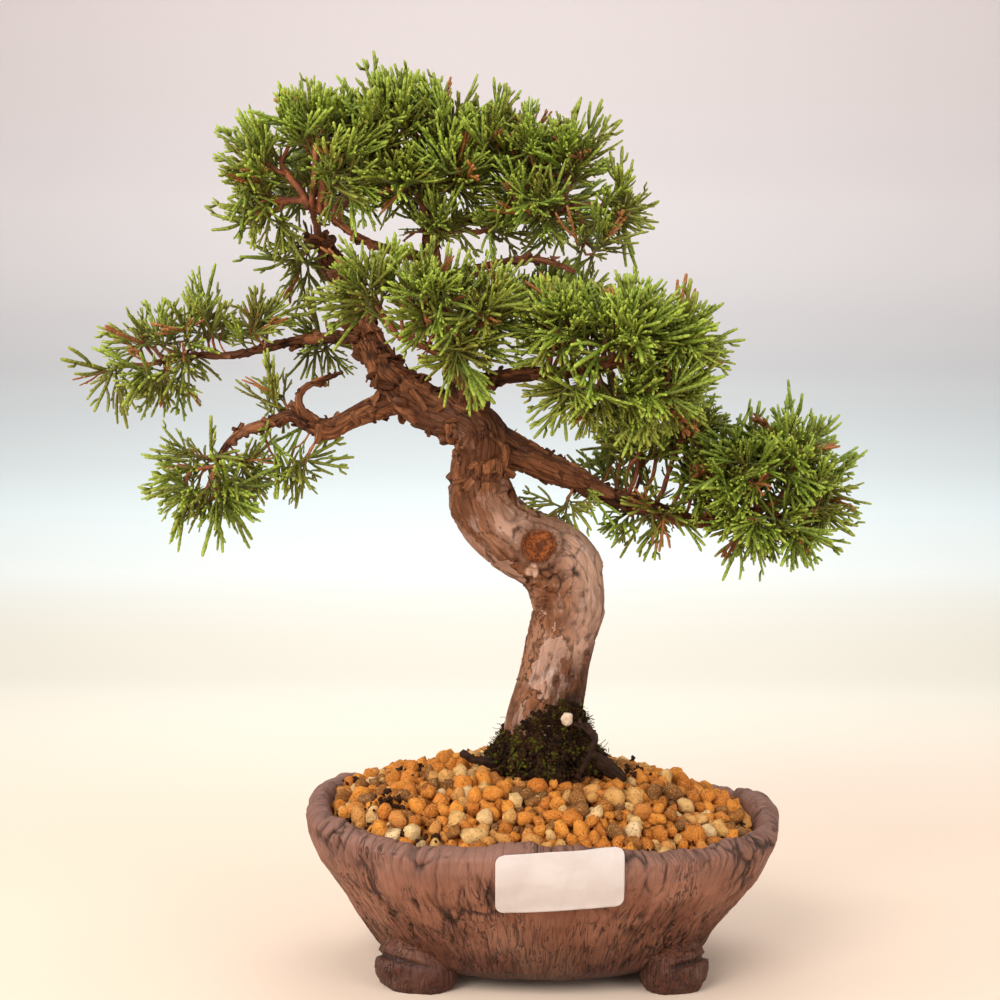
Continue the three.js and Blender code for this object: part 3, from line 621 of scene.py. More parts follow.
def pot_part():
    """The bowl as one closed skin: underside, flank, rolled rim, inner wall and inner floor."""
    sides = POT_SIDES
    angle = np.arange(sides) / sides * TURN
    edge_x, edge_y = outline(angle)
    reach = np.hypot(edge_x, edge_y)
    rim = rim_height(angle)
    mean_reach = (POT_LENGTH + POT_DEPTH) / 4
    # Each row: share of the outline, inset, share of the height, lift, and side, which is 0 on the
    # outside, 1 on the rim and 2 inside.
    rows = [(0.03, 0, -0.006, 0, 0), (0.25, 0, -0.004, 0, 0), (0.45, 0, -0.002, 0, 0)]
    rows += [(share, 0, level, 0, 0) for level, share in FLANK[:-1]]
    rows += [(0.99, WALL * 0.08, 0.985, 0.6, 0.6), (0.985, WALL * 0.3, 1.0, 1.4, 1)]
    rows += [(0.985, WALL * 0.55, 1.0, 1.3, 1), (0.985, WALL * 0.75, 0.985, 0.2, 1.4)]
    rows += [(share, inset, level, 0, 2) for level, share, inset in INSIDE]
    rows += [(0.4, WALL, 0.0, 0, 2), (0.15, 0, 0.0, 0, 2)]
    rows = np.array(rows, float)
    # Spread rings evenly by the distance that the skin travels.
    run_x = rows[:, 0] * mean_reach - rows[:, 1]
    run_z = np.where(rows[:, 4] >= 1.9, INNER_FLOOR + rows[:, 2] * 45,
                     FOOT_CLEARANCE + rows[:, 2] * 54.5 + rows[:, 3])
    run = np.concatenate([[0], np.cumsum(np.hypot(np.diff(run_x), np.diff(run_z)))])
    outer = run[rows[:, 4] < 1.9][-1]
    at = np.concatenate([np.linspace(0, run[3], 5), np.linspace(run[3], outer, FLANK_RINGS)[1:],
                         np.linspace(outer, run[-1], 16)[1:]])
    share, inset, level, lift, side = [np.interp(at, run, rows[:, k]) for k in range(5)]
    low = np.where(side > 1.5, INNER_FLOOR, FOOT_CLEARANCE)
    height = low[:, None] + level[:, None] * (rim[None, :] - low[:, None]) + lift[:, None]
    length = np.maximum(share[:, None] * reach[None, :] - inset[:, None], 0.2)
    scale = length / reach[None, :]
    points = np.stack([edge_x[None, :] * scale, edge_y[None, :] * scale, height], axis=-1)
    rings = len(at)

    def along_rings(values):
        return np.repeat(values, sides)

    # Hand-worked relief: pinched lumps, torn fibres that run down the wall, and a few deep splits.
    flat = points.reshape(-1, 3)
    wall_run, outside, rise_up = along_rings(at), along_rings(side < 1.5), along_rings(level)
    turn = np.tile(angle, rings)
    straight = np.column_stack([np.cos(turn) * mean_reach, np.sin(turn) * mean_reach, wall_run])
    warp = np.column_stack([noise(straight / 9, 21), noise(straight / 9, 22), noise(straight / 9, 23)]) * 1.6
    fibres = straight + warp
    fibres[:, 2] += 3.2 * noise(straight / 16.0, 3)
    lumps = rough(flat / 17.0, 3, 5) * 1.1
    torn = 1 - np.abs(rough(fibres / [2.6, 2.6, 15.0], 3, 31))
    fine = rough(fibres / [1.1, 1.1, 7.0], 2, 41)
    near, second, _ = cells(fibres / [5.2, 5.2, 21.0], 51)
    split = 1 - step_between(0.02, 0.14, second - near)
    split = split * step_between(-0.15, 0.35, rough(straight / 22.0, 2, 61))
    furrow = np.exp(-(rough(fibres / [3.6, 3.6, 30.0], 2, 33) / 0.085) ** 2)
    furrow = furrow * step_between(-0.25, 0.25, rough(straight / 19.0, 2, 34) + 0.25 * (0.6 - rise_up))
    gouge = step_between(0.3, 0.62, rough((straight + warp * 0.8) / [1.7, 1.7, 8.5], 2, 35))
    worn = rough(straight / [11.0, 11.0, 15.0], 2, 36) + 0.5 * (0.62 - rise_up)
    gouge = gouge * step_between(-0.2, 0.35, worn)
    nick = step_between(0.4, 0.62, rough((flat + warp) / [8.0, 8.0, 1.9], 2, 37))
    nick = nick * step_between(0.1, 0.5, rough(straight / 14.0, 2, 38)) * step_between(0.55, 0.8, rise_up)
    body = np.where(outside, step_between(0.02, 0.14, rise_up), 0.25)
    rise = lumps * np.where(outside, 1.0, 0.4)
    fibrous = ((torn - 0.75) * 0.9 + fine * 0.2) * (1.1 - 0.6 * rise_up)
    rise += body * (fibrous - split - gouge * 0.8 - nick * 0.9 - furrow * 0.75)
    lip = np.where(rise_up > 0.8, np.exp(-((along_rings(side) - 0.9) / 0.75) ** 2), 0.0)
    around = np.column_stack([turn * mean_reach / 7.0, turn * 0, wall_run / 30.0])
    rise += lip * rough(around, 2, 71) * 1.3
    # The rim is folded over outwards in four places, most of all at the right.
    band = np.exp(-((rise_up - 0.93) / 0.055) ** 2) * np.where(outside, 1.0, 0.0)
    for fold_at, width, proud in ((0.12, 0.16, 2.4), (-0.42, 0.12, 1.7), (2.86, 0.2, 1.2), (3.7, 0.1, 1.0)):
        away = np.angle(np.exp(1j * (turn - fold_at)))
        rise += proud * np.exp(-(away / width) ** 2) * band
    flat = flat + grid_normals(points).reshape(-1, 3) * rise[:, None]
    flat[:, 2] += lip * rough(straight / 9.0, 2, 81) * 0.9
    # The crack mark sets where the clay is painted dark: painted shade in the hollows.
    crack = split + step_between(0.55, 0.1, torn) * 0.6 + gouge * 0.5 + nick * 0.8 + furrow * 0.6
    crack = np.clip(crack, 0, 1) * body
    points = np.vstack([flat, [0, 0, FOOT_CLEARANCE - 0.4], [0, 0, INNER_FLOOR]])
    return points, closed_faces(rings, sides), {
        "straight": np.vstack([straight * MM, [0, 0, 0], [0, 0, 0]]),
        "crack": np.append(crack, [0, 0]),
        "lip": np.append(np.clip(lip * 1.2, 0, 1), [0, 0]),
        "dust": np.append(step_between(0.2, 0.75, rough(flat / 26.0, 3, 91)) * 0.35, [0, 0]),
    }


def grid_normals(points):
    """Unit normals of a grid of closed rings, pointing to the left of the run and the turn."""
    along = np.gradient(points, axis=0)
    around = (np.roll(points, -1, axis=1) - np.roll(points, 1, axis=1)) / 2
    normal = np.cross(around, along)
    return normal / np.maximum(np.linalg.norm(normal, axis=-1), 1e-9)[..., None]


def foot_part(foot, seed):
    """A strip of clay folded over on itself: a lump with a slit along its side and a flat sole."""
    side_x, side_y, length, inset = foot
    rings, sides = 44, 72
    unit = sphere_grid(rings, sides)
    square = np.sign(unit) * np.abs(unit) ** 0.85
    shape = square * [length / 2, FOOT_WIDTH / 2, FOOT_HEIGHT * 0.6]
    lumps = rough(unit * 1.6 + seed * 7.7, 4, seed) * 1.5 + rough(unit * 6 + seed, 3, seed + 9) * 0.45
    # The slit starts on the outer end and runs round the front, dipping as it goes.
    slit_height = 0.12 + 0.25 * np.sin(np.arctan2(unit[:, 1] * side_y, unit[:, 0] * side_x) * 1.3 + 0.4)
    slit = np.exp(-((unit[:, 2] - slit_height) / 0.07) ** 2)
    slit *= step_between(-0.75, 0.1, unit[:, 0] * side_x + 0.3 * noise(unit * 3, seed))
    grain = rough(unit * [5, 5, 16] + seed, 3, seed + 19) * 0.5
    shape = shape + unit * (lumps + grain - slit * 2.6)[:, None]
    turn = side_x * side_y * -0.25
    x = shape[:, 0] * math.cos(turn) - shape[:, 1] * math.sin(turn)
    y = shape[:, 0] * math.sin(turn) + shape[:, 1] * math.cos(turn)
    z = shape[:, 2] + FOOT_HEIGHT * 0.4
    centre_x = side_x * (FLANK[1][1] * POT_LENGTH / 2 - inset)
    centre_y = side_y * (FLANK[1][1] * POT_DEPTH / 2 - inset)
    points = np.column_stack([x + centre_x, y + centre_y, np.maximum(z, 0.0)])
    points = np.vstack([points, [centre_x, centre_y, 0.0], [centre_x, centre_y, FOOT_HEIGHT * 0.95]])
    return points, closed_faces(rings, sides), {
        "straight": points * MM,
        "crack": np.append(np.clip(slit + step_between(0.1, 0.5, -grain), 0, 1), [0, 0]),
        "lip": np.zeros(len(points)),
        "dust": np.append(step_between(0.1, 0.6, rough(unit * 2.4, 3, seed + 5)) * 0.4, [0, 0]),
    }


CLAY = clay_material()
points, faces, marks = joined([foot_part(foot, 100 + i) for i, foot in enumerate(FEET)])
skin_piece("clay_feet", (to_frame(points), faces, marks), CLAY, ["pot"])
points, faces, marks = pot_part()
skin_piece("clay_pot", (to_frame(points), faces, marks), CLAY, ["pot"])
POT_SKIN = BVHTree.FromPolygons(points.tolist(), faces)


# ---------------------------------------------------------------- scattering by Geometry Nodes


def scatter_tree():
    """Puts pieces of a kit on points: each point's aim, roll, size and kind place one piece."""
    tree = bpy.data.node_groups.new("scatter_kit", "GeometryNodeTree")
    new_socket(tree, "Geometry", "INPUT", "NodeSocketGeometry")
    new_socket(tree, "Kit", "INPUT", "NodeSocketCollection")
    new_socket(tree, "Finish", "INPUT", "NodeSocketMaterial")
    new_socket(tree, "Unevenness", "INPUT", "NodeSocketFloat", 0.15)
    new_socket(tree, "Seed", "INPUT", "NodeSocketInt", 1)
    new_socket(tree, "Geometry", "OUTPUT", "NodeSocketGeometry")
    board = Board(tree)
    given = tree.nodes.new("NodeGroupInput").outputs

    def field(name, kind):
        made = tree.nodes.new("GeometryNodeInputNamedAttribute")
        made.data_type = kind
        made.inputs["Name"].default_value = name
        return made.outputs["Attribute"]

    kit = board.node("GeometryNodeCollectionInfo", {"Collection": given["Kit"], "Separate Children": True,
                                                     "Reset Children": True})
    aim = field("aim", "FLOAT_VECTOR")
    aimed = board.node("FunctionNodeAlignRotationToVector", {"Vector": aim}, axis="Z")
    roll = board.node("ShaderNodeCombineXYZ", {2: field("roll", "FLOAT")}).outputs[0]
    rolled = board.node("FunctionNodeRotateRotation", {"Rotation": aimed.outputs[0]}, rotation_space="LOCAL")
    board.feed(rolled.inputs[1], board.node("FunctionNodeEulerToRotation", {0: roll}).outputs[0])
    spread = tree.nodes.new("FunctionNodeRandomValue")
    spread.data_type = "FLOAT"
    low = board.less(1.0, given["Unevenness"])
    high = board.plus(1.0, given["Unevenness"])
    for socket in spread.inputs:
        if socket.enabled and socket.name == "Min":
            board.feed(socket, low)
        if socket.enabled and socket.name == "Max":
            board.feed(socket, high)
        if socket.name == "Seed":
            board.feed(socket, given["Seed"])
    uneven = next(socket for socket in spread.outputs if socket.enabled)
    size = board.times(uneven, field("size", "FLOAT"))
    placed = board.node("GeometryNodeInstanceOnPoints", {
        "Points": given["Geometry"], "Instance": kit.outputs[0], "Pick Instance": True,
        "Instance Index": field("kind", "INT"), "Rotation": rolled.outputs[0],
        "Scale": board.node("ShaderNodeCombineXYZ", {0: size, 1: size, 2: size}).outputs[0]})
    real = board.node("GeometryNodeRealizeInstances", {"Geometry": placed.outputs[0]})
    finish = {"Geometry": real.outputs[0], "Material": given["Finish"]}
    finished = board.node("GeometryNodeSetMaterial", finish)
    end = tree.nodes.new("NodeGroupOutput")
    tree.links.new(finished.outputs[0], end.inputs[0])
    return tree


SCATTER = scatter_tree()


def kit_of(name, meshes):
    """A collection of small meshes, kept out of the scene, in the order of their names."""
    kit = bpy.data.collections.new(name)
    for i, mesh in enumerate(meshes):
        kit.objects.link(bpy.data.objects.new(f"{name}_{i:02d}", mesh))
    return kit


def scattered(name, spots, kit, finish, unevenness, seed, nodes):
    """A piece made of many small ones from a kit, as one plain mesh.

    spots holds place, aim, roll, size, kind and any marks to carry along.
    """
    mesh = bpy.data.meshes.new(name + "_spots")
    mesh.from_pydata(np.asarray(spots["place"], float).tolist(), [], [])
    for key, values in spots.items():
        if key == "place":
            continue
        kind = "FLOAT_VECTOR" if np.ndim(values) == 2 else "INT" if key == "kind" else "FLOAT"
        field = mesh.attributes.new(key, kind, "POINT")
        values = np.asarray(values, np.int32 if kind == "INT" else np.float32)
        field.data.foreach_set("vector" if kind == "FLOAT_VECTOR" else "value", values.ravel())
    holder = bpy.data.objects.new(name + "_spots", mesh)
    bpy.context.scene.collection.objects.link(holder)
    modifier = holder.modifiers.new("scatter", "NODES")
    modifier.node_group = SCATTER
    wanted = {"Kit": kit, "Finish": finish, "Unevenness": unevenness, "Seed": seed}
    for item in SCATTER.interface.items_tree:
        if item.item_type == "SOCKET" and item.in_out == "INPUT" and item.name in wanted:
            modifier[item.identifier] = wanted[item.name]
    result = bpy.data.meshes.new_from_object(holder.evaluated_get(bpy.context.evaluated_depsgraph_get()))
    result.name = name
    bpy.data.objects.remove(holder)
    piece(name, result, nodes)


def lump_mesh(detail, seed, squash, roughness):
    """A small rounded lump about one unit across, with few faces."""
    form = bmesh.new()
    bmesh.ops.create_icosphere(form, subdivisions=detail, radius=0.5)
    bmesh.ops.recalc_face_normals(form, faces=form.faces)
    points = np.array([v.co for v in form.verts])
    unit = points / np.linalg.norm(points, axis=1)[:, None]
    swell = 1 + roughness * rough(unit * 1.5 + seed * 3.3, 2, seed)
    block = np.abs(unit).max(axis=1) ** 0.35
    for vertex, place in zip(form.verts, points * (swell / block ** 0.6)[:, None] * squash):
        vertex.co = place
    mesh = bpy.data.meshes.new("lump")
    form.to_mesh(mesh)
    form.free()
    mesh.polygons.foreach_set("use_smooth", [True] * len(mesh.polygons))
    return mesh


# ---------------------------------------------------------------- soil and grains


def mound_height(x, y):
    """How high the grains lie, and the share of the way out to the wall."""
    angle = np.arctan2(y, x)
    edge_x, edge_y = outline(angle)
    share = np.hypot(x, y) / np.maximum(np.hypot(edge_x, edge_y) - WALL, 1)
    edge = share * rim_height(angle) + (1 - share) * RIM_HEIGHT
    return edge - SOIL_BELOW_RIM + MOUND_RISE * np.maximum(1 - share * share, 0) ** 0.8, share


def humus_material():
    made, board, shader = material("dark_humus")
    dark, light = (26, 13, 7), (66, 38, 21)
    mottle = board.mottle(150.0, 1800.0)
    base = board.mix(mottle["Grit"], dark, light)
    base = board.mix(board.times(mottle["Pits"], 0.6), base, dark)
    surface(board, shader, base, board.between(mottle["Patches"], 0.0, 1.0, 0.82, 0.95), 0.12)
    bump(board, shader, mottle["Grit"], 0.8, 0.0006)
    return made


GRAIN_SHADES = [(0.0, (112, 78, 50)), (0.14, (140, 88, 44)), (0.3, (196, 112, 40)),
                (0.48, (238, 152, 60)), (0.62, (208, 118, 44)), (0.78, (222, 168, 98)),
                (0.92, (240, 198, 132)), (1.0, (244, 216, 170))]


def grain_material():
    made, board, shader = material("baked_clay_grains")
    mottle = board.mottle(300.0, 1700.0)
    shades = board.ramp(board.mark("tint"), GRAIN_SHADES)
    base = board.mix(board.times(mottle["Patches"], 0.4), shades, (170, 102, 44))
    base = board.mix(board.between(mottle["Grit"], 0.5, 0.72, 0.0, 0.6), base, (250, 200, 116))
    # Darker in the pits: painted shade in the hollows.
    base = board.mix(board.times(mottle["Pits"], 0.7), base, (92, 48, 22))
    surface(board, shader, base, board.between(mottle["Grit"], 0.3, 0.8, 0.95, 0.8), 0.14)
    height = board.less(mottle["Grit"], board.times(mottle["Pits"], 0.5))
    bump(board, shader, height, 1.0, 0.0011)
    return made


def trunk_clearance(x, y):
    """How far a point of the ground is from the skin of the trunk's foot."""
    return np.hypot(x - 2, y) - 17.5


def settled_grains(seed):
    """Loose grains that have pushed each other apart on the mound: places and radii, in millimetres."""
    count, (low, high), layers = GRAIN_COUNT, GRAIN_RADII, GRAIN_BED_DEPTH
    draw = np.random.default_rng(seed)
    places = []
    while len(places) < count:
        x, y = draw.uniform(-86, 86), draw.uniform(-62, 62)
        _, share = mound_height(np.array([x]), np.array([y]))
        if share[0] < 0.985 and trunk_clearance(x, y) > -1:
            places.append((x, y))
    flat = np.array(places)
    radius = low + (high - low) * draw.beta(1.5, 2.5, count)
    top, _ = mound_height(flat[:, 0], flat[:, 1])
    spot = np.column_stack([flat, top - layers * draw.uniform(0, 1, count)])
    for _ in range(SETTLING_STEPS):
        tree = kdtree.KDTree(count)
        for i, place in enumerate(spot):
            tree.insert(place, i)
        tree.balance()
        push = np.zeros_like(spot)
        for i in range(count):
            for _, j, far in tree.find_range(spot[i], radius[i] + high):
                if j <= i:
                    continue
                lap = (radius[i] + radius[j]) * 0.93 - far
                if lap > 0 and far > 1e-6:
                    away = (spot[i] - spot[j]) / far * lap * 0.42
                    push[i] += away
                    push[j] -= away
        spot += push
        spot[:, 2] -= 0.22
        top, share = mound_height(spot[:, 0], spot[:, 1])
        spot[:, 2] = np.maximum(spot[:, 2], top - layers + radius * 0.4)
        spot[:, 2] = np.minimum(spot[:, 2], top + 0.6)
        pull = np.where(share > 0.99 - radius / 80, (0.99 - radius / 80) / np.maximum(share, 1e-6), 1.0)
        spot[:, 0] *= pull
        spot[:, 1] *= pull
        near = trunk_clearance(spot[:, 0], spot[:, 1])
        inward = np.maximum(radius * 0.5 - near, 0)
        reach = np.maximum(np.hypot(spot[:, 0] - 2, spot[:, 1]), 1e-6)
        spot[:, 0] += (spot[:, 0] - 2) / reach * inward
        spot[:, 1] += spot[:, 1] / reach * inward
    return spot, radius


def soil_part():
    """The root ball: it fills the bowl and its top lies just under the grains."""
    sides, shares = 160, np.linspace(0.995, 0.04, 34)
    angle = np.arange(sides) / sides * TURN
    edge_x, edge_y = outline(angle)
    reach = np.hypot(edge_x, edge_y)
    rings = []
    for level, share, inset in reversed(INSIDE):
        length = np.maximum(share * reach - inset - 0.8, 1)
        height = INNER_FLOOR + 0.8 + level * 0.94 * (rim_height(angle) - 6 - INNER_FLOOR)
        rings.append(np.column_stack([edge_x / reach * length, edge_y / reach * length, height]))
    for share in shares:
        length = (reach - WALL - 0.8) * share
        x, y = edge_x / reach * length, edge_y / reach * length
        top, _ = mound_height(x, y)
        bumps = rough(np.column_stack([x, y, top]) / 5.0, 4, 7) * 1.8
        rings.append(np.column_stack([x, y, top - 6.5 + bumps]))
    skin = np.vstack(rings + [np.array([[0, 0, INNER_FLOOR + 0.8], [0, 0, SOIL_LINE - 6.5]])])
    return to_frame(skin), closed_faces(len(rings), sides)


HUMUS = humus_material()
skin_piece("planting_mix", soil_part(), HUMUS, ["root_ball"])

grain_kit = kit_of("grain", [lump_mesh(2, 11 + i, (1.16, 0.98 - 0.05 * (i % 4), 0.82), 0.62)
                             for i in range(9)])
spot, radius = settled_grains(5)
draw = np.random.default_rng(21)
count = len(spot)
aim = draw.normal(size=(count, 3))
tint = draw.beta(2.2, 2.4, count)
tint = np.where(draw.random(count) < 0.07, draw.uniform(0.86, 1.0, count), tint)
tint = np.where(draw.random(count) < 0.12, draw.uniform(0.0, 0.16, count), tint)
spots = {"place": to_frame(spot), "aim": aim, "roll": draw.uniform(0, TURN, count), "size": radius * 2 * MM,
         "kind": draw.integers(0, 9, count), "tint": tint}
scattered("clay_grain_bed", spots, grain_kit, grain_material(), 0.06, 3, ["clay_grains"])
draw = np.random.default_rng(29)
nests = spot[draw.choice(len(spot), CRUMB_NESTS, replace=False)]
nests = nests[np.abs(mound_height(nests[:, 0], nests[:, 1])[0] - nests[:, 2]) < 5]
nests[:, 2] = mound_height(nests[:, 0], nests[:, 1])[0]
rim_x, rim_y = outline(draw.uniform(0, TURN, CRUMBS_BY_RIM))
inset = 1 - (WALL + draw.uniform(1.5, 6.0, CRUMBS_BY_RIM)) / np.hypot(rim_x, rim_y)
by_rim = np.column_stack([rim_x * inset, rim_y * inset, mound_height(rim_x * inset, rim_y * inset)[0] - 1.0])
crumbs = np.vstack([nest + draw.normal(size=(34, 3)) * [3.6, 3.2, 0.9] for nest in nests]
                   + [place + draw.normal(size=(6, 3)) * [1.8, 1.8, 0.7] for place in by_rim])
foot_turn = draw.uniform(0, TURN, CRUMBS_BY_TRUNK)
foot_away = 17.0 + 9.0 * draw.beta(1.1, 2.2, CRUMBS_BY_TRUNK)
foot_x, foot_y = 2 + np.cos(foot_turn) * foot_away, np.sin(foot_turn) * foot_away
heap = 0.3 * (24.0 - foot_away).clip(0) * draw.uniform(0, 1, CRUMBS_BY_TRUNK)
foot_z = mound_height(foot_x, foot_y)[0] + 0.6 + heap
crumbs = np.vstack([crumbs, np.column_stack([foot_x, foot_y, foot_z])])
crumbs = crumbs[mound_height(crumbs[:, 0], crumbs[:, 1])[1] < 0.98]
count = len(crumbs)
crumb_kit = kit_of("crumb", [lump_mesh(1, 41 + i, (1.2, 1.0, 0.8), 0.8) for i in range(6)])
spots = {"place": to_frame(crumbs), "aim": draw.normal(size=(count, 3)), "roll": draw.uniform(0, TURN, count),
         "size": draw.uniform(0.8, 2.6, count) * MM, "kind": draw.integers(0, 6, count)}
scattered("humus_crumbs", spots, crumb_kit, HUMUS, 0.2, 4, ["clay_grains"])


# ---------------------------------------------------------------- bark


def knob_sites(count, low, high, seed, size):
    """Where old bud knobs sit on a limb: the share of its turn, the way along and the radius."""
    draw = np.random.default_rng(seed)
    return [(draw.uniform(0, TURN), draw.uniform(low, high), size * draw.uniform(0.5, 1.25))
            for _ in range(count)]


def bark_relief(seed, flaky_from, flaky_to, knobs=(), scar=False, strength=1.0):
    """Swelling muscle, long folds, loose plates with lifted edges, fibres and bud knobs."""
    def relief(skin, straight, out, girth):
        along = straight[:, 2]
        flaky = step_between(flaky_from, flaky_to, along)
        flaky = np.clip(flaky + 0.35 * noise(straight / [9, 9, 20], seed + 1), 0.0, 1.0)
        wide = np.clip(girth / 12.0, 0.12, 1.1)
        shift = np.column_stack([noise(skin / scale, seed + k) for k, scale in ((2, 7.0), (3, 7.0), (4, 9.0))])
        drawn = straight + shift * (2.6 * wide)[:, None]
        swell = rough(straight / [10.0, 10.0, 26.0], 2, seed + 5) * 1.3 * wide
        fold_at = rough(drawn / [8.5, 8.5, 62.0], 2, seed + 6)
        fold = np.exp(-(fold_at / 0.045) ** 2)
        fold = fold * step_between(-0.25, 0.3, noise(straight / [12, 12, 24], seed + 7))
        near, second, name = cells(drawn / [6.2, 6.2, 15.0], seed + 8)
        gap = 1 - step_between(0.0, 0.10, second - near)
        edge = step_between(0.22, 0.62, near)
        small_near, small_second, small_name = cells(drawn / [2.6, 2.6, 6.5], seed + 9)
        small_gap = 1 - step_between(0.0, 0.16, small_second - small_near)
        big_near, big_second, big_name = cells(drawn / [8.5, 8.5, 17.0], seed + 19)
        big_gap = 1 - step_between(0.0, 0.07, big_second - big_near)
        plated = (1 - flaky) * step_between(60.0, 88.0, along)
        ragged = step_between(-0.1, 0.4, noise(straight / [6, 6, 12], seed + 10)) * flaky
        fibre = rough(drawn / [0.8, 0.8, 6.0], 2, seed + 11)
        grit = rough(skin / 1.9, 3, seed + 12)
        rise = swell + fibre * (0.03 + 0.25 * flaky) + grit * (0.12 + 0.16 * flaky)
        rise += wide * flaky * ((name - 0.45) * 2.3 + edge * 1.0 - gap * 1.5)
        rise += wide * ragged * ((small_name - 0.5) * 1.1 - small_gap * 0.7)
        big_edge = step_between(0.3, 0.7, big_near)
        rise += wide * plated * ((big_name - 0.45) * 1.2 + big_edge * 0.7 - big_gap * 0.8)
        rise -= wide * (1 - flaky) * gap * 0.42 * step_between(0.1, 0.5, noise(straight / 13.0, seed + 13))
        rise -= fold * (0.55 + 0.75 * flaky) * wide
        turn = np.arctan2(straight[:, 1], straight[:, 0])
        if scar:
            up = skin[:, 2] - SOIL_LINE
            ridge = 0.6 * np.cos(5 * turn + 0.8) + 0.4 * np.cos(3 * turn - 1.1 + 0.04 * up)
            rise += np.exp(-np.clip(up + 3, 0, 90) / 8.0) * (1.6 + 2.6 * ridge)
        knob = np.zeros(len(skin))
        outline_mark = np.zeros(len(skin))
        for site, place, size in knobs:
            away = np.hypot(np.angle(np.exp(1j * (turn - site))) * girth, along - place)
            knob = np.maximum(knob, np.exp(-(away / size) ** 2))
            moat = np.exp(-((away - size * 1.5) / 0.5) ** 2)
            rise += size * 0.85 * np.exp(-(away / size) ** 4) - 0.35 * moat
            outline_mark = np.maximum(outline_mark, np.exp(-((away - size * 1.35) / 0.45) ** 2))
        crack = fold + small_gap * ragged * 0.8 + outline_mark * 0.4
        crack += gap * (0.25 + 0.75 * flaky) * step_between(-0.2, 0.4, noise(straight / 13.0, seed + 13))
        crack += big_gap * plated * 0.75 * step_between(-0.3, 0.3, noise(straight / 10.0, seed + 21))
        crack = np.clip(crack, 0, 1)
        cut, callus, pale, rings = (np.zeros(len(skin)) for _ in range(4))
        if scar:
            centre = np.array(SCAR_CENTRE) + [0, 0, SOIL_LINE]
            axis = np.array(SCAR_AXIS) / np.linalg.norm(SCAR_AXIS)
            from_centre = skin - centre
            deep = from_centre @ axis
            flat = from_centre - deep[:, None] * axis
            wobble = 1 + 0.09 * noise(flat / 4.0, seed + 14)
            away = np.linalg.norm(flat, axis=1) * wobble
            facing = step_between(0.1, 0.45, out @ axis)
            inside = step_between(6.5, 5.5, away) * facing
            ring = np.exp(-((away - 7.4) / 1.25) ** 2) * facing
            outer = np.exp(-((away - 9.6) / 0.6) ** 2) * facing
            outer = outer * step_between(-0.3, 0.3, noise(skin / 5, seed + 15))
            # The cut face is flat: the skin there is brought to one plane across the axis.
            rings = np.sin(away * 3.0 + 1.5 * noise(flat / 3.0, seed + 20))
            level = 1.6 - deep + 0.3 * rough(flat / 1.6, 2, seed + 16) + 0.14 * rings
            rise = rise * (1 - inside) + inside * np.clip(level, -4, 4) * np.clip(out @ axis, 0.3, 1)
            rise += ring * 1.9 * (0.8 + 0.35 * noise(skin / 2.2, seed + 17)) - outer * 0.7
            rim_gap = np.exp(-((away - 6.1) / 0.42) ** 2) * facing
            rise -= rim_gap * 0.7
            crack = np.clip(crack * (1 - inside) * (1 - ring * 0.6) + outer * 0.7 + rim_gap * 0.9, 0, 1)
            cut = inside
            callus = np.exp(-((away - 7.6) / 2.0) ** 2) * facing
            off = (skin - np.array(BLEACHED_SPOT) - [0, 0, SOIL_LINE]) / [2.9, 10.0, 3.2]
            pale = step_between(1.0, 0.75, np.linalg.norm(off, axis=1) + 0.15 * noise(skin / 2.0, seed + 18))
            crack = crack * (1 - 0.8 * pale)
        marks = {"crack": crack, "plate": name * (0.4 + 0.6 * flaky), "knob": knob, "cut": cut,
                 "flaky": flaky, "callus": callus, "pale": pale, "rings": rings,
                 "up": skin[:, 2] - SOIL_LINE}
        return rise * strength, marks
    return relief


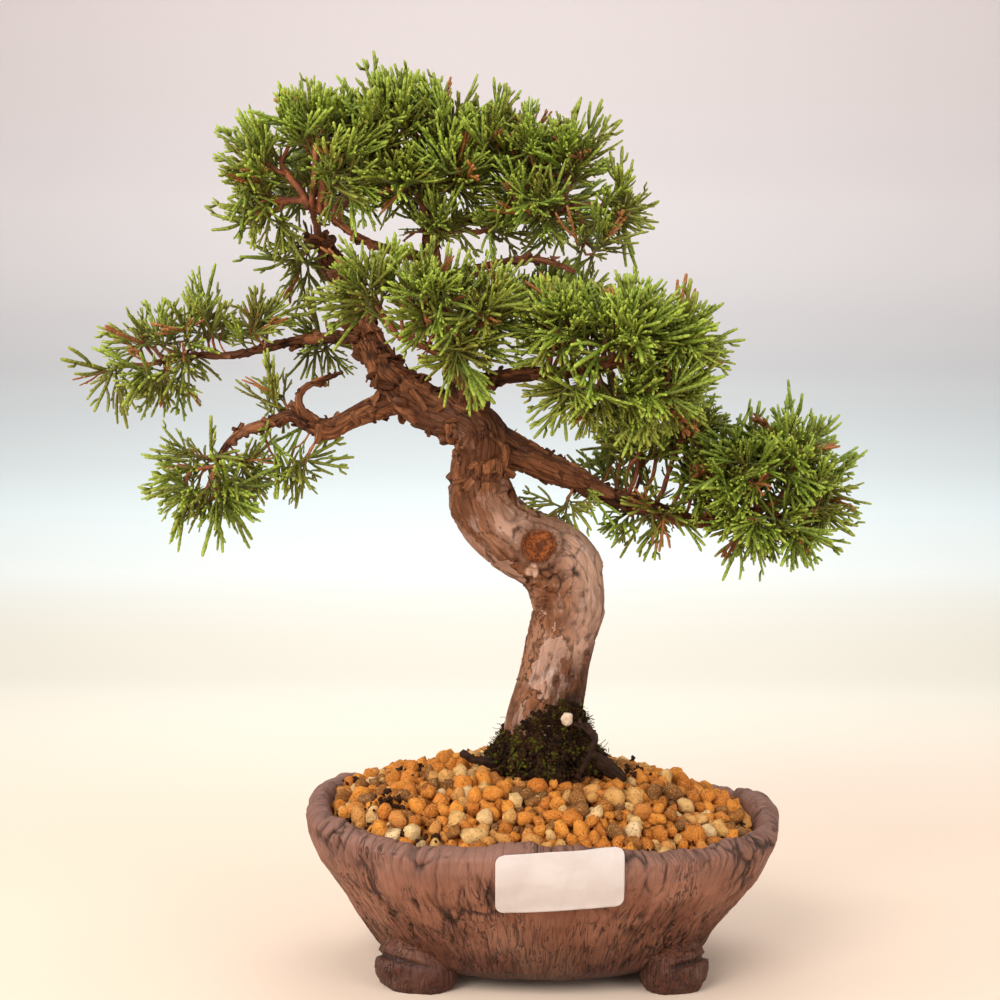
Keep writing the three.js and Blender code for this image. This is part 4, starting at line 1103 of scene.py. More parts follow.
def bark_material(name, smooth_light, smooth_dark, flaky_light, flaky_dark, crack_shade):
    made, board, shader = material(name)
    place = board.place()
    straight = board.straight()
    mottle = board.mottle(110.0, 1700.0)
    fibre = board.fibre(straight, 900.0, 110.0, 1.2)
    broad = board.noise(board.stretched(straight, (1.0, 1.0, 0.35)), 130.0, 3.0, 0.6, 0.8)
    blotch = board.noise(board.stretched(straight, (1.0, 1.0, 0.6)), 95.0, 4.0, 0.6, 1.0)
    warp = board.node("ShaderNodeTexNoise", {"Vector": straight, "Scale": 260.0, "Detail": 3.0})
    warp = warp.outputs["Color"]
    warp = board.vector("SCALE", {0: board.vector("SUBTRACT", {0: warp, 1: (0.5, 0.5, 0.5)}), "Scale": 0.008})
    shifted = board.stretched(board.vector("ADD", {0: straight, 1: warp}), (1.0, 1.0, 0.5))
    patch = board.parts(board.cells(shifted, 105.0, part="Color"))[0]
    patch_edge = board.cells(shifted, 105.0, "DISTANCE_TO_EDGE")
    smooth = board.mix(board.between(broad, 0.38, 0.62), smooth_dark, smooth_light)
    smooth = board.mix(board.between(blotch, 0.48, 0.62, 0.0, 0.6), smooth, (146, 96, 62))
    smooth = board.mix(board.between(fibre["Streaks"], 0.5, 0.78, 0.0, 0.3), smooth, smooth_dark)
    smooth = board.mix(board.between(blotch, 0.40, 0.28, 0.0, 0.6), smooth, (86, 50, 31))
    smooth = board.mix(board.between(patch, 0.62, 0.7, 0.0, 0.5), smooth, (184, 149, 130))
    smooth = board.mix(board.between(patch, 0.3, 0.22, 0.0, 0.5), smooth, (116, 70, 42))
    outline_share = board.times(board.between(patch_edge, 0.02, 0.05, 1.0, 0.0),
                               board.between(blotch, 0.5, 0.56, 0.0, 0.75))
    smooth = board.mix(outline_share, smooth, crack_shade)
    smooth = board.mix(board.between(board.mark("up"), 78.0, 104.0, 0.0, 0.4), smooth, (112, 66, 38))
    side = board.parts(straight)[0]
    # Lighter on the right side of the bend, from about 34 to 98 mm above the soil: painted light.
    painted_lit_side = board.times(board.between(side, -0.004, 0.010, 0.0, 0.55),
                          board.between(board.mark("up"), 34.0, 52.0))
    painted_lit_side = board.times(painted_lit_side, board.between(board.mark("up"), 84.0, 98.0, 1.0, 0.0))
    smooth = board.mix(painted_lit_side, smooth, (206, 168, 146))
    # Darker near the soil line and on the right side: partly real staining, partly painted shade.
    stain_and_shade = board.plus(board.mark("up"), board.between(blotch, 0.3, 0.7, -20.0, 20.0))
    stain_and_shade = board.plus(stain_and_shade, board.between(side, -0.012, 0.012, 16.0, -16.0))
    smooth = board.mix(board.between(stain_and_shade, 14.0, 48.0, 0.8, 0.0), smooth, (64, 37, 23))
    flaky = board.mix(board.mark("plate"), flaky_dark, flaky_light)
    flaky = board.mix(board.between(fibre["Streaks"], 0.35, 0.7, 0.0, 0.6), flaky, flaky_dark)
    flaky = board.mix(board.between(broad, 0.55, 0.75, 0.0, 0.55), flaky, smooth_light)
    base = board.mix(board.mark("flaky"), smooth, flaky)
    chalk = board.noise(board.stretched(straight, (1.0, 1.0, 0.4)), 210.0, 4.0, 0.65)
    chalk = board.between(chalk, 0.54, 0.72)
    chalk = board.times(chalk, board.between(board.mark("flaky"), 0.0, 0.8, 0.4, 0.08))
    base = board.mix(chalk, base, (214, 190, 178))
    base = board.mix(board.times(board.mark("knob"), 0.8), base, (88, 52, 33))
    base = board.mix(board.times(mottle["Pits"], 0.3), base, flaky_dark)
    split_share = board.times(fibre["Splits"], board.between(board.mark("flaky"), 0.0, 1.0, 0.04, 0.3))
    base = board.mix(split_share, base, crack_shade)
    base = board.mix(board.times(board.mark("crack"), 0.85), base, crack_shade)
    base = board.mix(board.times(board.mark("callus"), 0.72), base, (112, 78, 58))
    base = board.mix(board.times(board.mark("callus"),
                                board.between(board.noise(place, 900.0, 3.0), 0.5, 0.62, 0.0, 0.6)),
                     base, (62, 38, 26))
    wood = board.mix(board.between(board.noise(place, 420.0, 4.0, 0.6, 1.6), 0.35, 0.65), (74, 35, 12),
                     (138, 74, 32))
    wood = board.mix(board.between(board.noise(place, 260.0, 2.0, 0.5, 0.6), 0.5, 0.62, 0.0, 0.6), wood,
                     (62, 30, 14))
    wood = board.mix(board.between(board.mark("rings"), 0.2, 0.9, 0.0, 0.5), wood, (44, 20, 8))
    base = board.mix(board.mark("cut"), base, wood)
    base = board.mix(board.mark("pale"), base, (198, 162, 140))
    # Darkest just above the soil and more so on the right side: partly real damp bark, partly painted shade.
    damp_and_shade = board.plus(board.mark("up"), board.between(broad, 0.25, 0.75, -12.0, 12.0))
    damp_and_shade = board.plus(damp_and_shade, board.between(side, -0.012, 0.012, 7.0, -8.0))
    damp_and_shade = board.between(damp_and_shade, 9.0, 19.0, 1.0, 0.0)
    base = board.mix(board.times(damp_and_shade, 0.92), base,
                     board.mix(mottle["Patches"], (28, 15, 8), (58, 35, 20)))
    surface(board, shader, base, board.between(mottle["Grit"], 0.2, 0.8, 0.6, 0.88), 0.16)
    share = board.between(board.mark("flaky"), 0.0, 1.0, 0.22, 1.0)
    height = board.less(fibre["Streaks"], board.times(fibre["Splits"], 0.6))
    height = board.plus(board.times(height, share), board.times(mottle["Grit"], 0.5))
    bump(board, shader, height, 0.85, 0.0008)
    return made


TRUNK_BARK = bark_material("trunk_bark", (145, 104, 80), (98, 60, 39), (156, 98, 60),
                           (76, 41, 22), (26, 12, 6))
BRANCH_BARK = bark_material("branch_bark", (154, 102, 66), (106, 62, 38), (162, 104, 66),
                            (74, 39, 23), (26, 13, 8))
ROOT_BARK = bark_material("root_bark", (84, 58, 43), (52, 33, 24), (76, 50, 35),
                          (38, 24, 17), (14, 8, 5))


trunk_knobs = knob_sites(130, 18, 112, 77, 0.6) + knob_sites(26, 20, 100, 78, 0.95)
trunk_knobs += knob_sites(20, 130, 200, 79, 1.3)
trunk_relief = bark_relief(300, 118, 150, trunk_knobs, scar=True)
trunk_points, faces, marks = limb(raised(TRUNK), TRUNK_SIDES, TRUNK_RING_SPACING, trunk_relief)
skin_piece("trunk_bark", (to_frame(trunk_points), faces, marks), TRUNK_BARK, ["trunk"])


def flake_mesh(seed, long, wide):
    """A thin curled plate of dead bark, lifted at one end."""
    draw = np.random.default_rng(seed)
    across, run = 6, 8
    u, v = card_grid(across, run)
    flat = np.column_stack([u.ravel(), v.ravel(), np.zeros(u.size)])
    ragged = 1 + 0.3 * noise(flat * 1.7 + seed, seed).reshape(u.shape)
    x = u * wide / 2 * (1 - 0.35 * v ** 2) * ragged
    y = v * long / 2 * (1 + 0.12 * noise(flat * 2.3, seed + 1).reshape(u.shape))
    z = 0.15 + draw.uniform(0.7, 1.5) * np.clip(v + 0.3, 0, 2) ** 2 * 0.6 - 0.6 * u ** 2
    points, marks = [], []
    for lift in (0.07, -0.07):
        points.append(np.stack([x, y, z + lift], axis=-1).reshape(-1, 3))
        marks.append(np.column_stack([x.ravel(), np.full(x.size, 3.0 + seed), y.ravel() + seed * 9]))
    return mesh_from("flake", np.vstack(points) * MM, card_faces(across, run), {"straight": np.vstack(marks)})


def skin_sites(points, sides, weight, count, draw):
    """Places on a limb's skin, with the way out from it, picked more often where the weight is high."""
    rings = (len(points) - 2) // sides
    grid = points[:rings * sides].reshape(rings, sides, 3)
    out = grid_normals(grid).reshape(-1, 3)
    chance = np.clip(weight[:rings * sides], 0, None)
    pick = draw.choice(rings * sides, count, p=chance / chance.sum())
    return grid.reshape(-1, 3)[pick], out[pick]


flake_kit = kit_of("flake", [flake_mesh(i, 5.4 + 1.2 * i, 3.4 + 0.7 * (i % 3)) for i in range(5)])


def loose_bark(name, sites, sizes, finish, nodes, seed):
    """Curled plates of bark standing off a limb."""
    draw = np.random.default_rng(seed)
    place, out = sites
    count = len(place)
    spots = {"place": to_frame(place), "aim": out + draw.normal(size=(count, 3)) * 0.22,
             "roll": draw.uniform(0, TURN, count), "size": draw.uniform(*sizes, count),
             "kind": draw.integers(0, 5, count), "plate": draw.uniform(0, 1, count), "flaky": np.ones(count),
             "crack": draw.uniform(0, 0.3, count), "up": np.full(count, 90.0)}
    scattered(name, spots, flake_kit, finish, 0.15, seed, nodes)


# Plates come loose where the bark is flaky, above the bare elbow, and never on the saw cut.
weight = (marks["flaky"] + 0.12) ** 2 * (marks["up"] > 90) * (1 - marks["cut"])
sites = skin_sites(trunk_points, TRUNK_SIDES, weight, LOOSE_TRUNK_FLAKES, np.random.default_rng(31))
loose_bark("loose_trunk_bark", sites, (0.45, 1.15), TRUNK_BARK, ["trunk"], 32)

branch_sites = []
for number, (name, points) in enumerate(BRANCHES.items()):
    thick = max(p[3] for p in points)
    sides = int(np.clip(thick * 11, 24, 72))
    length = sum(math.dist(a[:3], b[:3]) for a, b in zip(points, points[1:]))
    knobs = knob_sites(int(length / 6), 6, length, 500 + number, 0.35 + thick * 0.12)
    relief = bark_relief(600 + 40 * number, -30, -10, knobs, strength=1.15)
    line = raised(points)
    share = np.linspace(0, 1, len(line))
    line[:, 3] *= (0.95 if thick > 4.9 else 0.8) * (1 - 0.3 * share)
    skin, faces, marks = limb(line, sides, 0.7 if thick > 4 else 0.9, relief)
    weight = np.ones(len(skin)) * step_between(0.5, 4.0, marks["straight"][:, 2])
    draw = np.random.default_rng(900 + number)
    branch_sites.append(skin_sites(skin, sides, weight, int(length * thick * 0.09) + 3, draw))
    skin_piece(name + "_bark", (to_frame(skin), faces, marks), BRANCH_BARK, [name])

sites = [np.vstack([pair[k] for pair in branch_sites]) for k in (0, 1)]
loose_bark("loose_branch_bark", sites, (0.3, 0.9), BRANCH_BARK, list(BRANCHES), 33)

for number, (name, points) in enumerate(ROOTS.items()):
    relief = bark_relief(1200 + 40 * number, 0, 10, knob_sites(5, 2, 20, 1300 + number, 0.7), strength=1.5)
    line = raised(points)
    line[:, 3] *= 0.9 if name == "thick_root" else 0.7
    skin, faces, marks = limb(line, 36, 0.6, relief)
    skin_piece(name + "_bark", (to_frame(skin), faces, marks), ROOT_BARK, [name])


# ---------------------------------------------------------------- foliage

# Lobes of each pad (x, y, z, half sizes) from the foot of the trunk, and the branches that carry it.
PADS = {
    "crown_left": (["crown_left_limb", "crown_leader", "trunk"],
                   [[-105, -6, 224, 18, 25, 21], [-84, -6, 237, 22, 29, 19], [-105, -4, 209, 17, 20, 14],
                    [-75, -12, 221, 18, 26, 19], [-90, 28, 224, 21, 24, 19], [-66, -8, 234, 14, 24, 17]]),
    "crown_middle": (["crown_leader"],
                     [[-55, -4, 243, 19, 30, 18], [-36, 2, 241, 18, 30, 19], [-53, 0, 222, 19, 32, 17],
                      [-33, 2, 226, 18, 30, 19], [-46, 34, 230, 23, 22, 19], [-20, -2, 236, 13, 26, 17],
                      [-40, 6, 205, 19, 24, 11], [-17, 6, 204, 16, 22, 10]]),
    "crown_right": (["crown_right_limb"],
                    [[-6, 4, 232, 20, 31, 20], [12, 6, 230, 18, 29, 18], [28, 5, 212, 17, 26, 16],
                     [-2, 2, 212, 19, 28, 13], [20, -5, 196, 16, 20, 11], [5, 36, 220, 24, 20, 21]]),
    "apex": (["apex_twig"], [[-93, 22, 197, 15, 20, 14]]),
    "inner_left": (["inner_left_twig"], [[-86, 24, 166, 15, 19, 17]]),
    "back": (["back_branch"], [[4, 54, 184, 30, 24, 16], [-22, 50, 178, 18, 20, 13]]),
    "front_left": (["front_left_branch"],
                   [[-61, -40, 172, 15, 22, 16], [-41, -43, 170, 19, 26, 19], [-22, -42, 167, 16, 26, 18],
                    [-32, -38, 154, 22, 24, 11]]),
    "front_right": (["front_branch"],
                    [[7, -38, 160, 20, 30, 19], [30, -38, 158, 22, 32, 21], [49, -34, 156, 15, 29, 18],
                     [38, -32, 138, 26, 30, 16], [13, -34, 139, 19, 26, 12]]),
    "left_upper": (["left_upper_branch"],
                   [[-130, 6, 166, 18, 22, 16], [-151, 4, 160, 17, 22, 13], [-146, 0, 147, 18, 24, 13],
                    [-163, 2, 149, 14, 12, 7], [-109, 6, 166, 17, 15, 12],
                    [-138, 2, 157, 17, 20, 12]]),
    "left_lower_inner": (["left_lower_branch"], [[-94, -8, 115, 18, 18, 12], [-100, -8, 137, 15, 13, 9]]),
    "left_lower_outer": (["left_lower_branch"], [[-128, -12, 115, 17, 21, 11], [-126, -12, 104, 23, 25, 14],
                          [-113, -10, 112, 14, 16, 10]]),
    "right_inner": (["right_branch"],
                    [[40, 16, 121, 20, 24, 18], [60, 14, 127, 19, 24, 17], [43, 10, 96, 22, 20, 11],
                     [24, 16, 106, 14, 15, 11], [62, 10, 106, 18, 20, 11]]),
    "right_outer": (["right_branch"],
                    [[75, 2, 109, 21, 29, 22], [95, 4, 115, 20, 29, 20], [104, 2, 101, 16, 27, 20],
                     [87, 0, 91, 26, 27, 12]]),
    "right_hanging": (["right_branch"], [[9, -3, 98, 17, 12, 8]]),
}
# How much each pad's shoots lift (they droop below 0), and how closely its twigs stand.
HABIT = {
    "crown_left": (0.5, 0.88), "crown_middle": (0.85, 0.86), "crown_right": (0.5, 0.9), "apex": (0.2, 0.8),
    "inner_left": (0.0, 0.7), "back": (0.3, 0.8), "front_left": (0.45, 1.1), "front_right": (0.2, 1.15),
    "left_upper": (0.1, 0.81), "left_lower_inner": (-0.15, 0.7), "left_lower_outer": (-0.25, 0.8),
    "right_inner": (0.15, 1.0), "right_outer": (0.0, 1.15), "right_hanging": (-0.3, 0.7),
}


def unit(vectors):
    return vectors / np.maximum(np.linalg.norm(vectors, axis=-1, keepdims=True), 1e-9)


def lobe_points(lobes, crowding, draw):
    """Points inside the lobes, kept a shoot's length in from their skin."""
    found = []
    for x, y, z, rx, ry, rz in lobes:
        half = np.array([max(r - 10.5, r * 0.38) for r in (rx, ry, rz)])
        count = int(crowding * LOBE_CROWDING * np.prod(half)) + 8
        direction = unit(draw.normal(size=(count, 3)))
        depth = draw.uniform(0.05, 1.0, count) ** (1 / 3)
        found.append(direction * depth[:, None] * half + [x, y, z])
    return np.vstack(found)


def nearest_lobe(point, lobes):
    """How far out a point lies in the lobe that holds it best: 0 at its middle, 1 on its skin."""
    return min(np.linalg.norm((point - np.array(lobe[:3])) / lobe[3:]) for lobe in lobes)


def grown_twigs(starts, start_aim, targets, lift, draw):
    """Twigs that grow step by step from the branch towards the open room in the pad."""
    nodes = [np.array(p) for p in starts]
    aims = [np.array(a) for a in start_aim]
    parents = [-1] * len(nodes)
    placed = np.array(nodes)
    reach = np.linalg.norm(targets[:, None] - placed[None], axis=2)
    nearest, gap = reach.argmin(axis=1), reach.min(axis=1)
    open_room = np.ones(len(targets), bool)
    for _ in range(70):
        open_room &= gap > 2.7
        if not open_room.any():
            break
        pull = np.zeros((len(nodes), 3))
        wanted = unit(targets[open_room] - placed[nearest[open_room]])
        np.add.at(pull, nearest[open_room], wanted)
        growing = np.flatnonzero(np.linalg.norm(pull, axis=1) > 1e-6)
        stray = draw.normal(size=(len(growing), 3)) * 0.24
        aim = unit(pull[growing]) + 0.55 * np.array(aims)[growing] + stray
        aim[:, 2] += 0.12 * lift
        aim = unit(aim)
        fresh = placed[growing] + aim * TWIG_STEP
        kept = np.linalg.norm(fresh[:, None] - placed[None], axis=2).min(axis=1) > TWIG_STEP * 0.45
        if not kept.any():
            break
        first = len(nodes)
        for place, direction, parent in zip(fresh[kept], aim[kept], growing[kept]):
            nodes.append(place)
            aims.append(direction)
            parents.append(int(parent))
        placed = np.array(nodes)
        new_reach = np.linalg.norm(targets[:, None] - placed[None, first:], axis=2)
        closer = new_reach.min(axis=1) < gap
        nearest = np.where(closer, first + new_reach.argmin(axis=1), nearest)
        gap = np.minimum(gap, new_reach.min(axis=1))
    return placed, np.array(aims), np.array(parents), len(starts)


def twig_girth(parents):
    """Radii from the tips back, the longest way to a tip, and each node's stoutest child."""
    count = len(parents)
    flow = np.zeros(count)
    to_tip = np.zeros(count)
    heir = np.full(count, -1)
    radius = np.zeros(count)
    for i in range(count - 1, -1, -1):
        radius[i] = max(flow[i], 1e-9) ** (1 / 2.5) if flow[i] > 0 else 0.40
        parent = parents[i]
        if parent >= 0:
            flow[parent] += radius[i] ** 2.5
            to_tip[parent] = max(to_tip[parent], to_tip[i] + TWIG_STEP)
            if heir[parent] < 0 or radius[i] > radius[heir[parent]]:
                heir[parent] = i
    return np.minimum(radius, 2.3), to_tip, heir


def twig_mesh(places, parents, radius, heir, first, to_tip, draw):
    """Tubes along each run of twig, closed at both ends."""
    sides = TWIG_SIDES
    points, faces, straight, youth = [], [], [], []
    angle = np.arange(sides) / sides * TURN
    for i in range(first, len(places)):
        parent = parents[i]
        if parent >= first and heir[parent] == i:
            continue
        run = [parent, i]
        while heir[run[-1]] >= 0:
            run.append(heir[run[-1]])
        centre = places[run]
        girth = radius[run].copy()
        girth[0] = girth[1]
        girth *= draw.uniform(0.85, 1.2, len(run))
        tangent, normal, side = carried_frames(centre)
        base = len(points)
        for k in range(len(run)):
            for a in angle:
                out = math.cos(a) * normal[k] + math.sin(a) * side[k]
                points.append(centre[k] + out * girth[k])
                straight.append((math.cos(a) * girth[k], math.sin(a) * girth[k], k * TWIG_STEP + i * 7.3))
                youth.append(to_tip[run[k]])
        faces += closed_faces(len(run), sides, base)
        points.append(centre[0] - tangent[0] * girth[0] * 0.5)
        points.append(centre[-1] + tangent[-1] * girth[-1] * 1.6)
        straight += [(0, 0, i * 7.3), (0, 0, len(run) * TWIG_STEP + i * 7.3)]
        youth += [to_tip[run[0]], 0.0]
    return np.array(points), faces, {"straight": np.array(straight), "far": np.array(youth)}


def cord(path, radius, sides, scale_length, knobby):
    """A green cord of overlapping scale leaves along a path, blunt and closed at both ends."""
    centre, along = smooth_path([(*p, 0) for p in path], scale_length)
    centre = centre[:, :3]
    tangent, normal, side = carried_frames(centre)
    count = len(centre)
    share = np.linspace(0, 1, count)
    girth = radius * (1.06 - 0.2 * share)
    girth = girth * np.where(np.arange(count) % 2 == 0, 1 + knobby, 1 - knobby)
    girth[0] *= 0.75
    girth[-1] = radius * 0.74
    points, straight, tip = [], [], []
    for k in range(count):
        for s in range(sides):
            a = (s + 0.5 * (k % 2)) / sides * TURN if sides == 3 else s / sides * TURN
            out = math.cos(a) * normal[k] + math.sin(a) * side[k]
            points.append(centre[k] + out * girth[k])
            straight.append((math.cos(a), math.sin(a), along[k]))
            tip.append(share[k])
    points += [centre[0] - tangent[0] * girth[0] * 0.4, centre[-1] + tangent[-1] * girth[-1]]
    straight += [(0, 0, 0), (0, 0, along[-1])]
    tip += [0.0, 1.0]
    return np.array(points), closed_faces(count, sides), {"leaf": np.array(straight), "tip": np.array(tip)}


def sprig_mesh(seed, length, long_shoots, short_shoots):
    """A forked shoot of a juniper: a leading cord, long cords beside it, and short forks near the ends."""
    draw = np.random.default_rng(seed)
    bend = draw.uniform(-0.1, 0.1, 2)

    def on_lead(at):
        return np.array([bend[0] * at * at * length, bend[1] * at * at * length, at * length])

    parts = [cord([on_lead(t) for t in (0, 0.35, 0.7, 1.0)], CORD_RADIUS, 4, 2.5, 0.1)]
    spray = draw.uniform(0, TURN)
    for k in range(long_shoots + short_shoots):
        long = k < long_shoots
        at = draw.uniform(0.08, 0.5) if long else draw.uniform(0.5, 0.88)
        turn = spray + math.pi * (k % 2) + draw.uniform(-0.9, 0.9)
        aside = np.array([math.cos(turn), math.sin(turn), 0])
        reach = length * draw.uniform(0.5, 0.72) if long else draw.uniform(2.2, 4.0)
        lean = draw.uniform(0.42, 0.68) if long else draw.uniform(0.55, 0.8)
        base = on_lead(at)
        elbow = base + (aside * lean + [0, 0, 0.8]) * reach * 0.5
        path = [base, elbow, base + (aside * lean * 0.8 + [0, 0, 0.98]) * reach]
        radius = CORD_RADIUS * draw.uniform(0.82, 0.95)
        parts.append(cord(path, radius, 4 if long else 3, 2.9, 0.1 if long else 0.0))
        if long and k % 2 == 0:
            tip_at = base + (aside * lean * 0.9 + [0, 0, 0.9]) * reach * 0.62
            fork = tip_at + (aside * 0.7 + [0, 0, 0.6]) * draw.uniform(1.8, 3.0)
            parts.append(cord([tip_at, (tip_at + fork) / 2, fork], CORD_RADIUS * 0.8, 3, 2.9, 0.0))
    points, faces, marks = joined(parts)
    return mesh_from("shoot", points * MM, faces, marks)


def tuft_mesh(seed, length, needles):
    """A young shoot with short spreading needles instead of scales."""
    draw = np.random.default_rng(seed)
    lead = [np.array([0, 0, t * length]) for t in (0, 0.5, 1.0)]
    parts = [cord(lead, CORD_RADIUS * 0.75, 4, 2.6, 0.05)]
    for k in range(needles):
        at = 0.12 + 0.84 * k / needles
        turn = k * 2.4 + draw.uniform(-0.3, 0.3)
        aside = np.array([math.cos(turn), math.sin(turn), 0.0])
        base = np.array([0, 0, at * length])
        reach = draw.uniform(3.0, 4.6) * (1.1 - 0.35 * at)
        elbow = base + (aside * 0.62 + [0, 0, 0.55]) * reach * 0.6
        path = [base, elbow, base + (aside * 0.8 + [0, 0, 0.85]) * reach]
        parts.append(cord(path, CORD_RADIUS * 0.42, 3, 2.2, 0.0))
    points, faces, marks = joined(parts)
    return mesh_from("shoot", points * MM, faces, marks)


def green_material():
    made, board, shader = material("juniper_green")
    leaf = board.mark("leaf", "Vector")
    parts = board.parts(leaf)
    tint, tip, depth = board.mark("tint"), board.mark("tip"), board.mark("deep")
    mottle = board.mottle(55.0, 1500.0)
    # Scales overlap in pairs, each pair a quarter turn from the last.
    around = board.times(parts[0], parts[1])
    wave = board.math("SINE", board.plus(board.times(parts[2], 3.6),
                                         board.times(around, 6.0)))
    scale = board.between(wave, -1.0, 1.0)
    old = board.mix(tint, (62, 76, 20), (108, 122, 40))
    young = board.mix(tint, (114, 142, 34), (168, 184, 66))
    openness = board.times(board.less(1.0, depth), 0.42)
    ripe = board.math("ADD", board.times(tip, 0.62), openness, clamp=True)
    base = board.mix(board.between(ripe, 0.12, 0.95), old, young)
    base = board.mix(board.times(mottle["Patches"], 0.3), base, (122, 134, 40))
    base = board.mix(board.between(scale, 0.0, 0.4, 0.4, 0.0), base, (48, 58, 14))
    base = board.mix(board.between(tip, 0.8, 1.0, 0.0, 0.35), base, (176, 192, 76))
    base = board.mix(board.between(depth, 0.45, 0.95, 0.0, 0.45), base, (118, 92, 38))
    brown = board.between(board.mark("dry"), 0.4, 0.6)
    dry = board.mix(tint, (122, 70, 34), (172, 112, 60))
    base = board.mix(brown, base, dry)
    surface(board, shader, base, board.between(mottle["Grit"], 0.2, 0.8, 0.42, 0.6), 0.3)
    shader.inputs["Subsurface Weight"].default_value = 0.12
    shader.inputs["Subsurface Radius"].default_value = (0.4, 0.7, 0.15)
    shader.inputs["Subsurface Scale"].default_value = 0.0016
    height = board.plus(scale, board.times(mottle["Grit"], 0.25))
    bump(board, shader, height, 0.6, 0.0003)
    return made


def twig_material():
    made, board, shader = material("young_twig_bark")
    straight = board.straight()
    mottle = board.mottle(120.0, 2200.0)
    fibre = board.fibre(straight, 1500.0, 500.0, 1.0)
    old = board.mix(mottle["Patches"], (118, 60, 32), (180, 104, 60))
    base = board.mix(board.between(board.mark("far"), 3.0, 15.0), (84, 92, 36), old)
    base = board.mix(board.between(fibre["Streaks"], 0.45, 0.7, 0.0, 0.5), base, (72, 40, 25))
    base = board.mix(board.times(fibre["Splits"], 0.4), base, (46, 26, 16))
    surface(board, shader, base, board.between(mottle["Grit"], 0.2, 0.8, 0.6, 0.85))
    height = board.plus(fibre["Streaks"], board.times(mottle["Grit"], 0.6))
    bump(board, shader, height, 0.8, 0.0004)
    return made


GREEN = green_material()
TWIG = twig_material()
# Each forked shoot: its length, and how many long and short shoots it carries.
SHOOTS = [(15.0, 3, 2), (17.0, 2, 1), (13.0, 1, 3), (16.0, 2, 1), (12.0, 2, 2), (18.0, 1, 1)]
TUFT = len(SHOOTS)
shoot_meshes = [sprig_mesh(seed, *shoot) for seed, shoot in enumerate(SHOOTS, 1)]
sprig_kit = kit_of("sprig", shoot_meshes + [tuft_mesh(7, 9.0, 13)])
paths = {name: smooth_path(points, 3.0)[0] for name, points in BRANCHES.items()}
paths["trunk"] = smooth_path(TRUNK, 3.0)[0]
for number, (pad, (carriers, lobes)) in enumerate(PADS.items()):
    draw = np.random.default_rng(4000 + number)
    lift, crowding = HABIT[pad]
    centre = np.mean([lobe[:3] for lobe in lobes], axis=0)
    targets = lobe_points(lobes, crowding, draw)
    starts, start_aim = [], []
    for carrier in carriers:
        line = paths[carrier]
        aim = unit(np.gradient(line[:, :3], axis=0))
        near = np.array([nearest_lobe(point, lobes) for point in line[:, :3]])
        for k in np.flatnonzero(near < (1.25 if near.min() < 1.1 else near.min() + 0.15)):
            starts.append(line[k, :3])
            start_aim.append(aim[k])
    places, aims, parents, first = grown_twigs(starts, start_aim, targets, lift, draw)
    radius, to_tip, heir = twig_girth(parents)
    twig_points, faces, marks = twig_mesh(places, parents, radius, heir, first, to_tip, draw)
    skin_piece(pad + "_twigs", (on_soil(twig_points), faces, marks), TWIG, [pad + "_foliage"])

    place, aim, size, kind, deep, tint, dry = [], [], [], [], [], [], []
    pad_tint = draw.uniform(-0.12, 0.12)
    carrier_points = np.array(starts)
    for i in range(first, len(places)):
        bare = to_tip[i] > 15.5
        if bare and (draw.random() < 0.35 or np.linalg.norm(carrier_points - places[i], axis=1).min() < 4.5):
            continue
        forward = unit(places[i] - places[parents[i]])
        sideways = unit(np.cross(forward, draw.normal(size=3)))
        outward = unit((places[i] - centre) * [1.0, 0.6, 1.0])
        at_tip = heir[i] < 0
        for k in range(2 if at_tip else 1):
            lean = 0.0 if k == 0 and at_tip else draw.uniform(0.5, 0.95)
            direction = forward * 0.8 + sideways * lean * (1 if i % 2 else -1) + outward * 0.4
            direction = unit(direction + [0, 0, 0.95 * lift] + draw.normal(size=3) * 0.22)
            place.append(places[i])
            aim.append(direction)
            vigour = 0.76 if bare else 1 - 0.016 * to_tip[i]
            size.append((1.02 if at_tip else 0.88) * draw.uniform(0.7, 1.2) * vigour)
            kind.append(TUFT if draw.random() < 0.03 else draw.integers(0, TUFT))
            deep.append(np.clip(1.15 - nearest_lobe(places[i], lobes) * 1.2 + to_tip[i] * 0.02, 0, 1))
            tint.append(np.clip(draw.beta(2.5, 2.5) + pad_tint, 0, 1))
            dry.append(1.0 if draw.random() < 0.005 + 0.05 * (deep[-1] > 0.6) else 0.0)
    spots = {"place": on_soil(place), "aim": aim, "roll": draw.uniform(0, TURN, len(place)),
             "size": size, "kind": kind, "deep": deep, "tint": tint, "dry": dry}
    scattered(pad + "_sprigs", spots, sprig_kit, GREEN, 0.1, 40 + number, [pad + "_foliage"])


# ---------------------------------------------------------------- moss, pebble, label, drain screens


def moss_material():
    made, board, shader = material("damp_moss")
    mottle = board.mottle(210.0, 2600.0)
    green = board.mix(board.mark("tint"), (36, 36, 8), (96, 94, 24))
    soil = board.mix(mottle["Patches"], (22, 11, 5), (64, 36, 18))
    base = board.mix(board.between(board.plus(board.mark("tint"), mottle["Patches"]), 0.95, 1.45),
                     soil, green)
    base = board.mix(board.between(mottle["Grit"], 0.6, 0.8, 0.0, 0.3), base, (84, 62, 30))
    surface(board, shader, base, board.between(mottle["Grit"], 0.3, 0.8, 0.7, 0.95), 0.1)
    bump(board, shader, mottle["Grit"], 1.0, 0.0008)
    return made


def strand_mesh(seed, length):
    """A curled moss strand, three-sided and closed."""
    draw = np.random.default_rng(seed)
    bend = draw.uniform(-0.5, 0.5, 4)
    path = [np.array([bend[0] * t * t * length + bend[2] * math.sin(t * 5) * 0.6,
                      bend[1] * t * t * length + bend[3] * math.sin(t * 4) * 0.6,
                      t * length, 0.2 * (1.1 - t)])
            for t in np.linspace(0, 1, 5)]
    points, faces, _ = limb(path, 3, length / 4)
    return mesh_from("strand", points * MM, faces)


